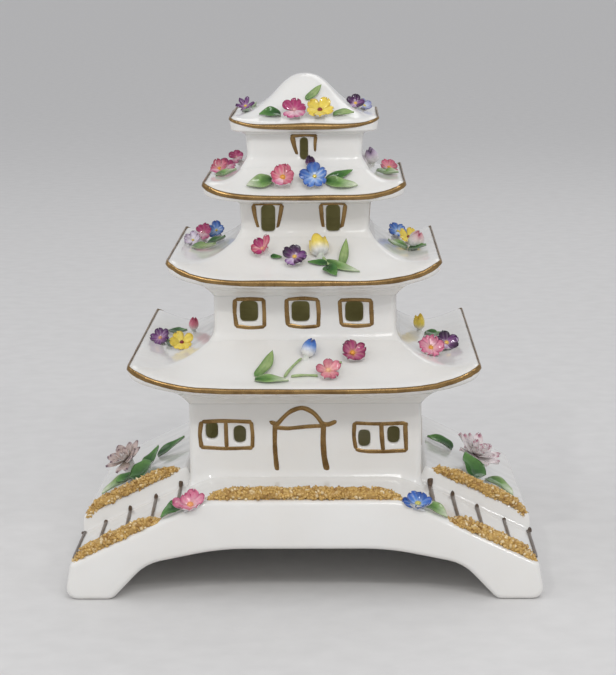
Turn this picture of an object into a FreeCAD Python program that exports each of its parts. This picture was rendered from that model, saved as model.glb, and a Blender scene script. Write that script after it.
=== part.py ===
import FreeCAD, Part
import math
import os

# Four-storey pagoda pastille burner in bone china, standing on a humped bridge.
# Millimetres. +Z up, front towards -Y. The origin is the middle of the footprint, on the table.

os.makedirs("parts", exist_ok=True)
Vector = FreeCAD.Vector
UP = Vector(0, 0, 1)

# Bridge casting
bridge_width = 132.0
bridge_depth = 121.0
bridge_wall = 3.4
deck_height = 28.0
deck_flat_width = 54.0
deck_end_height = 10.2
deck_end_inset = 1.8
deck_knee_radius = 14.0
deck_end_radius = 1.4
foot_width = 13.2
foot_outer_radius = 3.0
foot_inner_radius = 3.4
arch_rise = 14.2
arch_flat_width = 46.0
arch_haunch_inset = 9.4
arch_haunch_height = 10.0
arch_crown_radius = 70.0
arch_haunch_radius = 13.0
bridge_edge_radius = 0.9
vent_radius = 3.0

# Garden banks at each side of the house
bank_front = 28.0
bank_front_rise = 5.0
bank_back_rise = 1.5
bank_root_depth = 2.0
bank_wall_gap = 0.05

# Storeys: half width of each wall at its foot and top, and its height
storey_wall = 2.4
storey_corner_radius = 1.6
storey_1_half = 33.0
storey_1_height = 21.0
storey_2_half = 25.9
storey_2_height = 11.7
storey_3_foot_half = 18.1
storey_3_top_half = 18.7
storey_3_height = 8.5
storey_4_foot_half = 16.1
storey_4_top_half = 16.9
storey_4_height = 7.4
plinth_margin = 0.6

# Roofs: half width at the lip, rise of the cove from the wall's top to the lip at mid front, lift
# of the side lips above that, depth of the gutter behind them, and rise of the slope from the lip
# at mid front to the next wall's foot
roof_1_half = 48.6
roof_1_cove_rise = 7.8
roof_1_side_lift = 6.1
roof_1_gutter_depth = 2.0
roof_1_slope_rise = 10.2
roof_2_half = 38.2
roof_2_cove_rise = 6.5
roof_2_side_lift = 5.4
roof_2_gutter_depth = 1.6
roof_2_slope_rise = 10.5
roof_3_half = 28.5
roof_3_cove_rise = 3.7
roof_3_side_lift = 3.3
roof_3_gutter_depth = 0.1
roof_3_slope_rise = 8.4
roof_4_half = 21.1
roof_4_cove_rise = 3.5
roof_4_side_lift = 1.8
dome_rise = 12.8

# Heights above the table that follow, from the deck upwards
storey_1_foot = deck_height
storey_1_top = storey_1_foot + storey_1_height
roof_1_front_lip = storey_1_top + roof_1_cove_rise
roof_1_side_lip = roof_1_front_lip + roof_1_side_lift
roof_1_gutter = roof_1_side_lip - roof_1_gutter_depth
storey_2_foot = roof_1_front_lip + roof_1_slope_rise
storey_2_top = storey_2_foot + storey_2_height
roof_2_front_lip = storey_2_top + roof_2_cove_rise
roof_2_side_lip = roof_2_front_lip + roof_2_side_lift
roof_2_gutter = roof_2_side_lip - roof_2_gutter_depth
storey_3_foot = roof_2_front_lip + roof_2_slope_rise
storey_3_top = storey_3_foot + storey_3_height
roof_3_front_lip = storey_3_top + roof_3_cove_rise
roof_3_side_lip = roof_3_front_lip + roof_3_side_lift
roof_3_gutter = roof_3_side_lip - roof_3_gutter_depth
storey_4_foot = roof_3_front_lip + roof_3_slope_rise
storey_4_top = storey_4_foot + storey_4_height
roof_4_front_lip = storey_4_top + roof_4_cove_rise
roof_4_side_lip = roof_4_front_lip + roof_4_side_lift
dome_top = roof_4_front_lip + dome_rise

# Sections of the roofs
lip_thickness = 2.3
lip_side_depth = 3.9
lip_corner_radius = 3.0
lip_round = 1.0
corner_sweep_power = 5.0
front_slope_power = 1.25
gutter_share = 0.6
side_lip_power = 1.5
side_slope_power = 1.8
roof_section_wall = 2.4
dome_section_wall = 3.4
hollow_straight = 0.5
hollow_bulge = 0.4
hollow_below = 0.55
hollow_above = 0.72
dome_corner_share = 0.3
dome_corner_limit = 0.8
dome_hollow_rise = 0.28
dome_hollow_shoulder = 0.4
dome_hollow_ceiling = 0.12

# Cove under a roof: share of the way out from the wall to the lip, and share of the rise there
COVE = ((0.16, 0.30), (0.46, 0.60), (0.88, 0.93))

# Rolled lip: inset in lip rounds, and drop below the lip at the front and the side in lip thicknesses
LIP_ROLL = ((0.3, 0.8, 1.25), (0.0, 0.4, 0.5), (1.0, 0.0, 0.0))

# Roof top: shares of the way from the upper wall's foot out to the lip
TOP_SHARES = (0.82, 0.6, 0.34, 0.12)

# Dome: share of the lip's half width, share of the rise, share of the corners' lift that is left
DOME = ((0.84, 0.07, 0.5), (0.66, 0.22, 0.25), (0.52, 0.41, 0.1), (0.39, 0.64, 0.0),
        (0.285, 0.82, 0.0), (0.165, 0.955, 0.0), (0.05, 1.0, 0.0))

# Pierced windows: width and height of each opening, and the places of their centres, as the
# distance across the wall from its middle and the height above the wall's foot
window_1_width = 3.1
window_1_height = 4.6
window_1_places = ((-26.5, 13.3), (-18.6, 12.1), (16.7, 10.9), (25.0, 11.9))
window_2_width = 4.8
window_2_height = 5.6
window_2_places = ((-15.9, 7.3), (-1.2, 7.2), (14.0, 7.1))
window_3_width = 3.7
window_3_height = 7.4
window_3_places = ((-10.4, 4.2), (8.1, 4.2))
window_4_width = 2.0
window_4_height = 6.2
window_4_places = ((-0.1, 3.3),)
window_corner_radius = 0.9

# Reach of a cutter past the wall that it cuts
cut_margin = 1.0

# Stoking arch in the back wall, and the pastille on its dish
stoke_width = 26.0
stoke_height = 17.0
dish_radius = 10.0
dish_height = 3.4
dish_floor = 1.3
dish_wall = 1.2
dish_running_gap = 0.2
socket_radius = 4.4
socket_wall = 0.9
socket_height = 1.2
pastille_radius = 4.2
pastille_height = 12.0
pastille_tip_radius = 0.8
pastille_gap = 0.1

# Grit strips, a crust of small china crumbs along the bridge and the garden beds
grit_width = 5.0
grit_height = 3.4
grit_crown = 0.9
grit_top_radius = 1.5
grit_centre_left = 25.5
grit_centre_right = 26.0
grit_slope_start = 39.2
grit_bed_gap = 2.6
grit_bed_start = storey_1_half + grit_bed_gap
grit_bed_height = 3.0
grit_bed_width = 4.4
grit_end_inset = 0.3
grit_end_share = 0.8

# Hand-made flowers and leaves
seat_gap = 0.12
leaf_thickness = 0.9
leaf_tip_width = 0.5
leaf_lift_share = 0.15
petal_depth = 0.16
bloom_foot = 0.34
full_bloom_foot = 0.42
bud_petals = 3
bud_foot = 0.35
bud_waist = 0.5
bud_foot_height = 0.8


def rounded_polygon(corners):
    """Wire of straight runs and tangent arcs through (x, z, radius) corners, in the plane y = 0."""
    count = len(corners)
    starts = []
    ends = []
    middles = []
    for i in range(count):
        x, z, radius = corners[i]
        here = Vector(x, 0, z)
        before = Vector(corners[i - 1][0], 0, corners[i - 1][1])
        after = Vector(corners[(i + 1) % count][0], 0, corners[(i + 1) % count][1])
        back = (before - here).normalize()
        ahead = (after - here).normalize()
        half_angle = back.getAngle(ahead) / 2
        reach = radius / math.tan(half_angle)
        centre_way = (back + ahead).normalize()
        centre = here + centre_way * (radius / math.sin(half_angle))
        starts.append(here + back * reach)
        ends.append(here + ahead * reach)
        middles.append(centre - centre_way * radius)
    edges = []
    for i in range(count):
        if corners[i][2] > 0:
            edges.append(Part.Arc(starts[i], middles[i], ends[i]).toShape())
        edges.append(Part.makeLine(ends[i], starts[(i + 1) % count]))
    return Part.Wire(edges)


def deck_at(x):
    """Height of the walking surface at a distance x from the middle."""
    half_flat = deck_flat_width / 2
    end = bridge_width / 2 - deck_end_inset
    slope = (deck_height - deck_end_height) / (end - half_flat)
    return deck_height - slope * max(0.0, abs(x) - half_flat)


def bridge_profile(inset):
    """Front view of the bridge, moved inwards by inset."""
    foot = bridge_width / 2
    end = foot - deck_end_inset
    inner_foot = foot - foot_width
    haunch = inner_foot - arch_haunch_inset
    half_flat = deck_flat_width / 2
    half_crown = arch_flat_width / 2
    right = [
        (inner_foot, 0, foot_inner_radius),
        (foot, 0, foot_outer_radius),
        (end, deck_end_height, deck_end_radius),
        (half_flat, deck_height, deck_knee_radius),
    ]
    left = [(-x, z, radius) for x, z, radius in reversed(right)]
    arch = [
        (-haunch, arch_haunch_height, arch_haunch_radius),
        (-half_crown, arch_rise, arch_crown_radius),
        (half_crown, arch_rise, arch_crown_radius),
        (haunch, arch_haunch_height, arch_haunch_radius),
    ]
    face = Part.Face(rounded_polygon(right + left + arch))
    if inset > 0:
        face = face.makeOffset2D(-inset)
    return face


def extrude_in_depth(face, depth):
    """Solid from a face in the plane y = 0, evenly to the front and the back."""
    solid = face.extrude(Vector(0, depth, 0))
    solid.translate(Vector(0, -depth / 2, 0))
    return solid


def garden_bank(side):
    """Raised bed beside the house, highest at its front edge."""
    inner = storey_1_half + bank_wall_gap
    outer = bridge_width / 2 - deck_end_inset
    wires = []
    for y, rise in ((-bank_front, bank_front_rise), (bridge_depth / 2, bank_back_rise)):
        corners = [
            Vector(side * inner, y, deck_at(inner) - bank_root_depth),
            Vector(side * outer, y, deck_at(outer) - bank_root_depth),
            Vector(side * outer, y, deck_at(outer) + rise),
            Vector(side * inner, y, deck_at(inner) + rise),
        ]
        wires.append(Part.makePolygon(corners + corners[:1]))
    return Part.makeLoft(wires, True, True)


def house_plinth():
    """Flat seat for the house on the deck."""
    half = storey_1_half + plinth_margin
    base = deck_height - bridge_wall
    return Part.makeBox(2 * half, 2 * half, deck_height - base, Vector(-half, -half, base))


def bridge():
    """Hollow bridge casting with its garden banks and a firing vent under the crown."""
    body = extrude_in_depth(bridge_profile(0), bridge_depth)
    rims = []
    for edge in body.Edges:
        ys = [vertex.Point.y for vertex in edge.Vertexes]
        if min(ys) > bridge_depth / 2 - 0.01 or max(ys) < 0.01 - bridge_depth / 2:
            rims.append(edge)
    body = body.makeFillet(bridge_edge_radius, rims)
    body = body.cut(extrude_in_depth(bridge_profile(bridge_wall), bridge_depth - 2 * bridge_wall))
    body = body.fuse([house_plinth(), garden_bank(-1), garden_bank(1)])
    vent = Part.makeCylinder(vent_radius, arch_rise + bridge_wall, Vector(0, 0, 0), UP)
    return body.cut(vent).removeSplitter()


# Places of the points along one side of a ring, as shares of its straight run
RING_STATIONS = (-1.0, -0.9, -0.72, -0.42, 0.0, 0.42, 0.72, 0.9, 1.0)


def ring(half, corner, front_z, side_z):
    """Closed curve round a square. The front and back sides dip to front_z in their middle."""
    straight = half - corner
    bulge = straight + corner * math.sqrt(0.5)
    quarter = [(half, station * straight) for station in RING_STATIONS] + [(bulge, bulge)]
    steps = [after[1] - before[1] for before, after in zip(quarter[:-2], quarter[1:-1])]
    steps += [corner * math.pi / 4] * 2
    points = []
    parameters = [0.0]
    for turn in range(4):
        cosine = round(math.cos(turn * math.pi / 2))
        sine = round(math.sin(turn * math.pi / 2))
        for (x, y), step in zip(quarter, steps):
            px = cosine * x - sine * y
            py = sine * x + cosine * y
            points.append(Vector(px, py, side_height(half, front_z, side_z, px)))
            parameters.append(parameters[-1] + step / (4 * sum(steps)))
    curve = Part.BSplineCurve()
    curve.interpolate(Points=points, PeriodicFlag=True, Parameters=parameters)
    return Part.Wire(curve.toShape())


def side_height(half, front_z, side_z, x):
    """Height of a ring's front side at x, which sweeps up towards the corners."""
    return front_z + (side_z - front_z) * (abs(x) / half) ** corner_sweep_power


def loft(wires):
    """Closed solid through the wires."""
    solid = Part.makeLoft(wires, True, True)
    if solid.Volume < 0:
        solid.reverse()
    return solid


def loft_rings(rings):
    """Closed solid through rings given as half width, corner radius, front height, side height."""
    return loft([ring(*values) for values in rings])


def storey(foot_half, top_half, foot, top):
    """Square tube of wall, open at the foot and at the top."""
    corner = storey_corner_radius
    inner_corner = corner / 2
    foot_in = foot_half - storey_wall
    top_in = top_half - storey_wall
    outer = loft_rings([(foot_half, corner, foot, foot), (top_half, corner, top, top)])
    low = foot - cut_margin
    high = top + cut_margin
    inner = loft_rings([(foot_in, inner_corner, low, low), (top_in, inner_corner, high, high)])
    return outer.cut(inner)


def window(x, z, width, height, reach):
    """Cutter through the front wall, a rounded rectangle seen from the front."""
    radius = min(window_corner_radius, width / 3)
    corners = [
        (x - width / 2, z - height / 2, radius),
        (x + width / 2, z - height / 2, radius),
        (x + width / 2, z + height / 2, radius),
        (x - width / 2, z + height / 2, radius),
    ]
    return Part.Face(rounded_polygon(corners)).extrude(Vector(0, -reach, 0))


def windows(places, width, height, foot, half):
    """Cutters for one storey's windows, at the front and turned to both sides."""
    cutters = []
    for x, z in places:
        for angle in (-90, 0, 90):
            cutter = window(x, foot + z, width, height, half + cut_margin)
            cutter.rotate(Vector(0, 0, 0), UP, angle)
            cutters.append(cutter)
    return cutters


def stoke_arch():
    """Cutter for the round-headed opening in the back wall."""
    radius = stoke_width / 2
    spring = deck_height + stoke_height - radius
    low = deck_height - cut_margin
    left = Vector(-radius, 0, spring)
    right = Vector(radius, 0, spring)
    head = Part.Arc(right, Vector(0, 0, spring + radius), left).toShape()
    sides = Part.makePolygon([left, Vector(-radius, 0, low), Vector(radius, 0, low), right])
    return Part.Face(Part.Wire([head] + sides.Edges)).extrude(Vector(0, storey_1_half + cut_margin, 0))


def storey_1():
    """Ground floor with two pairs of windows on three sides and the stoking arch behind."""
    walls = storey(storey_1_half, storey_1_half, storey_1_foot, storey_1_top)
    cutters = windows(window_1_places, window_1_width, window_1_height, storey_1_foot, storey_1_half)
    return walls.cut(cutters + [stoke_arch()])


def storey_2():
    """Second floor with three square windows on three sides."""
    walls = storey(storey_2_half, storey_2_half, storey_2_foot, storey_2_top)
    cutters = windows(window_2_places, window_2_width, window_2_height, storey_2_foot, storey_2_half)
    return walls.cut(cutters)


def storey_3():
    """Third floor, flared upwards, with two tall slots on three sides."""
    walls = storey(storey_3_foot_half, storey_3_top_half, storey_3_foot, storey_3_top)
    cutters = windows(window_3_places, window_3_width, window_3_height, storey_3_foot, storey_3_top_half)
    return walls.cut(cutters)


def storey_4():
    """Top floor, flared upwards, with one narrow slot on three sides."""
    walls = storey(storey_4_foot_half, storey_4_top_half, storey_4_foot, storey_4_top)
    cutters = windows(window_4_places, window_4_width, window_4_height, storey_4_foot, storey_4_top_half)
    return walls.cut(cutters)


# Each roof between two storeys: half width and height of the wall's top below it, half width at
# the lip, lip heights at the front and the sides, gutter height, and the foot of the wall above it
ROOFS = {
    "storey_1_roof": (storey_1_half, storey_1_top, roof_1_half, roof_1_front_lip, roof_1_side_lip,
                      roof_1_gutter, storey_2_half, storey_2_foot),
    "storey_2_roof": (storey_2_half, storey_2_top, roof_2_half, roof_2_front_lip, roof_2_side_lip,
                      roof_2_gutter, storey_3_foot_half, storey_3_foot),
    "storey_3_roof": (storey_3_top_half, storey_3_top, roof_3_half, roof_3_front_lip, roof_3_side_lip,
                      roof_3_gutter, storey_4_foot_half, storey_4_foot),
}


def underside_rings(wall_half, wall_top, half, front_lip, side_lip):
    """Rings from the wall's top, out along the cove, up to the lip."""
    span = half - wall_half
    front_rise = front_lip - lip_thickness - wall_top
    side_rise = side_lip - lip_side_depth - wall_top
    rings = [(wall_half, storey_corner_radius, wall_top, wall_top)]
    for share, rise in COVE:
        corner = storey_corner_radius + share * lip_corner_radius / 2
        out = wall_half + share * span
        rings.append((out, corner, wall_top + rise * front_rise, wall_top + rise * side_rise))
    return rings


def lip_rings(half, front_lip, side_lip):
    """Rings round the rolled lip, from below to above."""
    rings = []
    for inset, front_drop, side_drop in LIP_ROLL:
        front_z = front_lip - front_drop * lip_thickness
        side_z = side_lip - side_drop * lip_thickness
        rings.append((half - inset * lip_round, lip_corner_radius, front_z, side_z))
    return rings


def top_rings(half, front_lip, side_lip, gutter, foot_half, foot):
    """Rings from the lip, through the side gutters, up to the next wall's foot."""
    rim = half - lip_round
    rings = []
    for share in TOP_SHARES:
        front_z = foot - (foot - front_lip) * (1 - (1 - share) ** front_slope_power)
        if share > gutter_share:
            outer_share = (share - gutter_share) / (1 - gutter_share)
            side_z = gutter + (side_lip - gutter) * outer_share ** side_lip_power
        else:
            side_z = gutter + (foot - gutter) * (1 - share / gutter_share) ** side_slope_power
        corner = storey_corner_radius + share * (lip_corner_radius - storey_corner_radius)
        rings.append((foot_half + share * (rim - foot_half), corner, front_z, side_z))
    rings.append((foot_half, storey_corner_radius, foot, foot))
    return rings


def roof_hollow(wall_half, wall_top, half, front_lip, side_lip, gutter, foot_half, foot):
    """Space inside a roof, open to the storeys below and above it."""
    wall = roof_section_wall
    low = wall_half - wall
    high = foot_half - wall
    corner = storey_corner_radius / 2
    bulge = wall_half + hollow_bulge * (half - wall_half)
    front_below = wall_top + hollow_below * (front_lip - lip_thickness - wall_top)
    side_below = wall_top + hollow_below * (side_lip - lip_side_depth - wall_top)
    front_above = foot - hollow_above * (foot - front_lip)
    return loft_rings([
        (low, corner, wall_top - cut_margin, wall_top - cut_margin),
        (low, corner, wall_top + hollow_straight, wall_top + hollow_straight),
        (bulge, lip_corner_radius, (front_below + front_above) / 2, (side_below + gutter) / 2),
        (high, corner, foot - wall, foot - wall),
        (high, corner, foot + cut_margin, foot + cut_margin),
    ])


def roof(wall_half, wall_top, half, front_lip, side_lip, gutter, foot_half, foot):
    """Hollow roof casting with swept corners, between two storeys."""
    rings = underside_rings(wall_half, wall_top, half, front_lip, side_lip)
    rings += lip_rings(half, front_lip, side_lip)
    rings += top_rings(half, front_lip, side_lip, gutter, foot_half, foot)
    hollow = roof_hollow(wall_half, wall_top, half, front_lip, side_lip, gutter, foot_half, foot)
    return loft_rings(rings).cut(hollow)


def dome_rings():
    """Rings from the top roof's lip up to its crown."""
    rings = []
    for share, height, side_share in DOME:
        front_z = roof_4_front_lip + height * dome_rise
        half = share * roof_4_half
        corner = min(lip_corner_radius * (1 - share) + dome_corner_share * half, dome_corner_limit * half)
        rings.append((half, corner, front_z, front_z + side_share * roof_4_side_lift))
    return rings


def domed_roof():
    """Top roof, rising to a soft hipped dome."""
    rings = underside_rings(storey_4_top_half, storey_4_top, roof_4_half, roof_4_front_lip, roof_4_side_lip)
    rings += lip_rings(roof_4_half, roof_4_front_lip, roof_4_side_lip)
    rings += dome_rings()
    low = storey_4_top_half - roof_section_wall
    corner = storey_corner_radius / 2
    spring = storey_4_top + roof_4_cove_rise / 2 + cut_margin
    shoulder = roof_4_front_lip + dome_hollow_rise * dome_rise
    ceiling = dome_top - dome_section_wall
    hollow = loft_rings([
        (low, corner, storey_4_top - cut_margin, storey_4_top - cut_margin),
        (low, corner, spring, spring),
        (dome_hollow_shoulder * roof_4_half, corner, shoulder, shoulder),
        (dome_hollow_ceiling * roof_4_half, corner, ceiling, ceiling),
    ])
    return loft_rings(rings).cut(hollow)


def pastille_dish():
    """Small round dish with a ring in its middle that holds the pastille."""
    base = deck_height + dish_running_gap
    below = Vector(0, 0, base)
    floor = Vector(0, 0, base + dish_floor)
    foot_radius = dish_radius - dish_wall
    dish = Part.makeCone(foot_radius, dish_radius, dish_height, below, UP)
    well = Part.makeCone(foot_radius - dish_wall, foot_radius, dish_height, floor, UP)
    socket = Part.makeCylinder(socket_radius + socket_wall, dish_floor + socket_height, below, UP)
    socket_bore = Part.makeCylinder(socket_radius, socket_height + cut_margin, floor, UP)
    return dish.cut(well).fuse(socket).cut(socket_bore).removeSplitter()


def incense_pastille():
    """Pressed cone of incense, standing in the dish."""
    base = deck_height + dish_running_gap + dish_floor + pastille_gap
    return Part.makeCone(pastille_radius, pastille_tip_radius, pastille_height, Vector(0, 0, base), UP)


def grit_centre():
    """Crust along the front edge of the flat part of the deck, slightly crowned."""
    left = -grit_centre_left
    right = grit_centre_right
    top = deck_height + grit_height
    crown = Part.Arc(Vector(right, 0, top), Vector(0, 0, top + grit_crown), Vector(left, 0, top)).toShape()
    low = deck_height
    sides = Part.makePolygon([Vector(left, 0, top), Vector(left, 0, low), Vector(right, 0, low),
                              Vector(right, 0, top)])
    solid = Part.Face(Part.Wire([crown] + sides.Edges)).extrude(Vector(0, grit_width, 0))
    solid.translate(Vector(0, -bridge_depth / 2 + bridge_edge_radius, 0))
    return round_long_edges(solid)


def grit_slope(side, start, rise, width, height, front):
    """Crust down a slope from start to the bridge's end, on ground raised above the deck by rise."""
    end = bridge_width / 2 - deck_end_inset - deck_end_radius - grit_end_inset
    corners = [
        Vector(side * start, 0, deck_at(start) + rise),
        Vector(side * end, 0, deck_at(end) + rise),
        Vector(side * end, 0, deck_at(end) + rise + grit_end_share * height),
        Vector(side * start, 0, deck_at(start) + rise + height),
    ]
    solid = Part.Face(Part.makePolygon(corners + corners[:1])).extrude(Vector(0, width, 0))
    solid.translate(Vector(0, front, 0))
    return round_long_edges(solid)


def round_long_edges(solid):
    """Rounds the two long upper edges of a crust bar, at its front and its back."""
    upper = []
    for edge in solid.Edges:
        points = [vertex.Point for vertex in edge.Vertexes]
        middle = edge.CenterOfMass
        along_x = abs(points[0].x - points[-1].x) > 1
        if along_x and middle.z > solid.CenterOfMass.z:
            upper.append(edge)
    return solid.makeFillet(grit_top_radius, upper)


def roof_top(node):
    """Rings of a roof's upper surface, from the middle outwards."""
    if node == "domed_top_roof":
        rings = lip_rings(roof_4_half, roof_4_front_lip, roof_4_side_lip)[-1:] + dome_rings()
    else:
        half, front_lip, side_lip, gutter, foot_half, foot = ROOFS[node][2:]
        rings = lip_rings(half, front_lip, side_lip)[-1:]
        rings += top_rings(half, front_lip, side_lip, gutter, foot_half, foot)
    return rings[::-1]


def garden_height(x, y):
    """Height of the bridge's walking surface or of the garden bank on it."""
    if abs(x) < storey_1_half or y < -bank_front:
        return deck_at(x)
    share = (y + bank_front) / (bridge_depth / 2 + bank_front)
    return deck_at(x) + bank_front_rise + share * (bank_back_rise - bank_front_rise)


def surface_height(ground, x, y):
    """Height of a node's upper surface at (x, y)."""
    if ground == "bridge":
        return garden_height(x, y)
    out = max(abs(x), abs(y))
    rings = roof_top(ground)
    for inner, outer in zip(rings, rings[1:]):
        if out <= outer[0]:
            break
    share = min(1.0, max(0.0, (out - inner[0]) / (outer[0] - inner[0])))
    heights = []
    for half, _, front_z, side_z in (inner, outer):
        across = half * abs(x) / out if abs(y) >= abs(x) else half
        heights.append(side_height(half, front_z, side_z, across))
    return heights[0] + share * (heights[1] - heights[0])


def surface_normal(ground, x, y):
    """Outward direction of a node's upper surface at (x, y)."""
    step = 0.4
    slope_x = (surface_height(ground, x + step, y) - surface_height(ground, x - step, y)) / (2 * step)
    slope_y = (surface_height(ground, x, y + step) - surface_height(ground, x, y - step)) / (2 * step)
    return Vector(-slope_x, -slope_y, 1).normalize()


def facing(azimuth, elevation):
    """Direction a bloom looks in. Azimuth 0 is the front, 90 the right."""
    turn = math.radians(azimuth)
    tilt = math.radians(elevation)
    return Vector(math.sin(turn) * math.cos(tilt), -math.cos(turn) * math.cos(tilt), math.sin(tilt))


def lobed_ring(centre, axis, look, radius, lobes, depth):
    """Closed scalloped curve square to the axis. It starts on a flower's right, as seen along its look."""
    right = look.cross(UP)
    right = (right - axis * right.dot(axis)).normalize()
    upward = right.cross(axis).normalize()
    lobes = round(lobes)
    count = max(4 * lobes, 12)
    points = []
    for i in range(count):
        angle = 2 * math.pi * i / count
        reach = radius * (1 + depth * math.cos(lobes * angle)) if lobes else radius
        points.append(centre + right * (reach * math.cos(angle)) + upward * (reach * math.sin(angle)))
    curve = Part.BSplineCurve()
    curve.interpolate(Points=points, PeriodicFlag=True)
    return Part.Wire(curve.toShape())


def seat_on(ground, x, y):
    """Point just above the ground at (x, y), and the ground's direction there."""
    normal = surface_normal(ground, x, y)
    return Vector(x, y, surface_height(ground, x, y)) + normal * seat_gap, normal


# Rings of an open flower's cup above its centre: distance along its look and radius, as shares of
# the flower's radius, and the share of the petals' depth. Those with no petals are round.
CUP = ((0.0, 0.72, 0.5), (0.26, 1.0, 1.0), (0.42, 0.9, 1.0), (0.22, 0.36, 0.0), (0.42, 0.2, 0.0))
FULL_CUP = ((0.12, 0.8, 1.0), (0.3, 0.66, 0.5), (0.46, 0.6, 0.5), (0.62, 0.36, 0.5),
            (0.7, 0.14, 0.0))
BUD_CUP = ((0.3, 1.0, 0.5), (0.62, 0.86, 0.5), (1.0, 0.3, 0.5))


def bloom(ground, x, y, radius, height, lobes, azimuth, elevation):
    """Open flower: a short foot on the ground, a scalloped cup of petals and a raised eye."""
    seat, normal = seat_on(ground, x, y)
    look = facing(azimuth, elevation)
    centre = seat + normal * height
    waist = (seat + centre) / 2
    foot_radius = bloom_foot * radius
    rings = [
        lobed_ring(seat, normal, look, foot_radius, 0, 0),
        lobed_ring(waist, (normal + look).normalize(), look, foot_radius, 0, 0),
    ]
    for ahead, out, share in CUP:
        depth = share * petal_depth
        reach = out * radius / (1 + depth)
        middle = centre + look * (ahead * radius)
        rings.append(lobed_ring(middle, look, look, reach, lobes if share else 0, depth))
    return loft(rings)


def double_bloom(ground, x, y, radius, height, lobes, azimuth, elevation):
    """Full many-petalled flower: an outer tier of pointed petals and a domed heart."""
    seat, normal = seat_on(ground, x, y)
    look = facing(azimuth, elevation)
    centre = seat + normal * height
    waist = (seat + centre) / 2
    foot_radius = full_bloom_foot * radius
    rings = [
        lobed_ring(seat, normal, look, foot_radius, 0, 0),
        lobed_ring(waist, (normal + look).normalize(), look, foot_radius, 0, 0),
    ]
    for ahead, out, share in FULL_CUP:
        middle = centre + look * (ahead * radius)
        depth = share * petal_depth
        rings.append(lobed_ring(middle, look, look, out * radius, lobes if share else 0, depth))
    return loft(rings)


def bud(ground, x, y, radius, length, azimuth, elevation):
    """Closed tulip-shaped bud lying out from its foot in the direction it faces."""
    seat, normal = seat_on(ground, x, y)
    look = facing(azimuth, elevation)
    foot = seat + normal * (bud_foot_height * radius)
    rings = [
        lobed_ring(seat, normal, look, bud_foot * radius, 0, 0),
        lobed_ring(foot, (normal + look).normalize(), look, bud_waist * radius, 0, 0),
    ]
    for ahead, out, share in BUD_CUP:
        middle = foot + look * (ahead * length)
        rings.append(lobed_ring(middle, look, look, out * radius, bud_petals, share * petal_depth))
    return loft(rings)


def oval(centre, along, side, half_width, half_thickness):
    """Oval wire square to a blade's direction."""
    thick = along.cross(side).normalize()
    points = []
    for i in range(8):
        angle = math.pi * i / 4
        across = side * (half_width * math.cos(angle))
        points.append(centre + across + thick * (half_thickness * math.sin(angle)))
    curve = Part.BSplineCurve()
    curve.interpolate(Points=points, PeriodicFlag=True)
    return Part.Wire(curve.toShape())


# Shares of the length, and of the full width there, for a leaf and for a stem
LEAF_SHAPE = ((0.0, 0.34), (0.22, 0.8), (0.48, 1.0), (0.76, 0.66), (1.0, 0.0))
STEM_SHAPE = ((0.0, 1.0), (0.35, 1.0), (0.7, 1.0), (1.0, 1.0))


def blade(ground, x, y, direction, length, width, lift, shape=LEAF_SHAPE):
    """Leaf or stem that starts on the ground at (x, y) and follows it, rising by lift at its tip."""
    turn = math.radians(direction)
    course = Vector(math.sin(turn), -math.cos(turn), 0)
    half_thickness = leaf_thickness / 2
    spine = []
    for share, _ in shape:
        px = x + course.x * length * share
        py = y + course.y * length * share
        height = surface_height(ground, px, py)
        normal = surface_normal(ground, px, py)
        point = Vector(px, py, height) + normal * (seat_gap + half_thickness + leaf_lift_share * width)
        spine.append(point + UP * (lift * share * share))
    wires = []
    for i, (share, width_share) in enumerate(shape):
        ahead = spine[min(i + 1, len(spine) - 1)]
        behind = spine[max(i - 1, 0)]
        along = (ahead - behind).normalize()
        side = along.cross(UP).normalize()
        half_width = max(width * width_share, leaf_tip_width) / 2
        wires.append(oval(spine[i], along, side, half_width, min(half_thickness, half_width)))
    return loft(wires)


def stem(ground, x, y, direction, length):
    """Thin stem lying on the ground."""
    return blade(ground, x, y, direction, length, leaf_thickness, 0, STEM_SHAPE)


# Places on a roof: the side it is on, the distance along that side, and the share of the way
# from the upper wall's foot, or the dome's middle, down to the lip.

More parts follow.
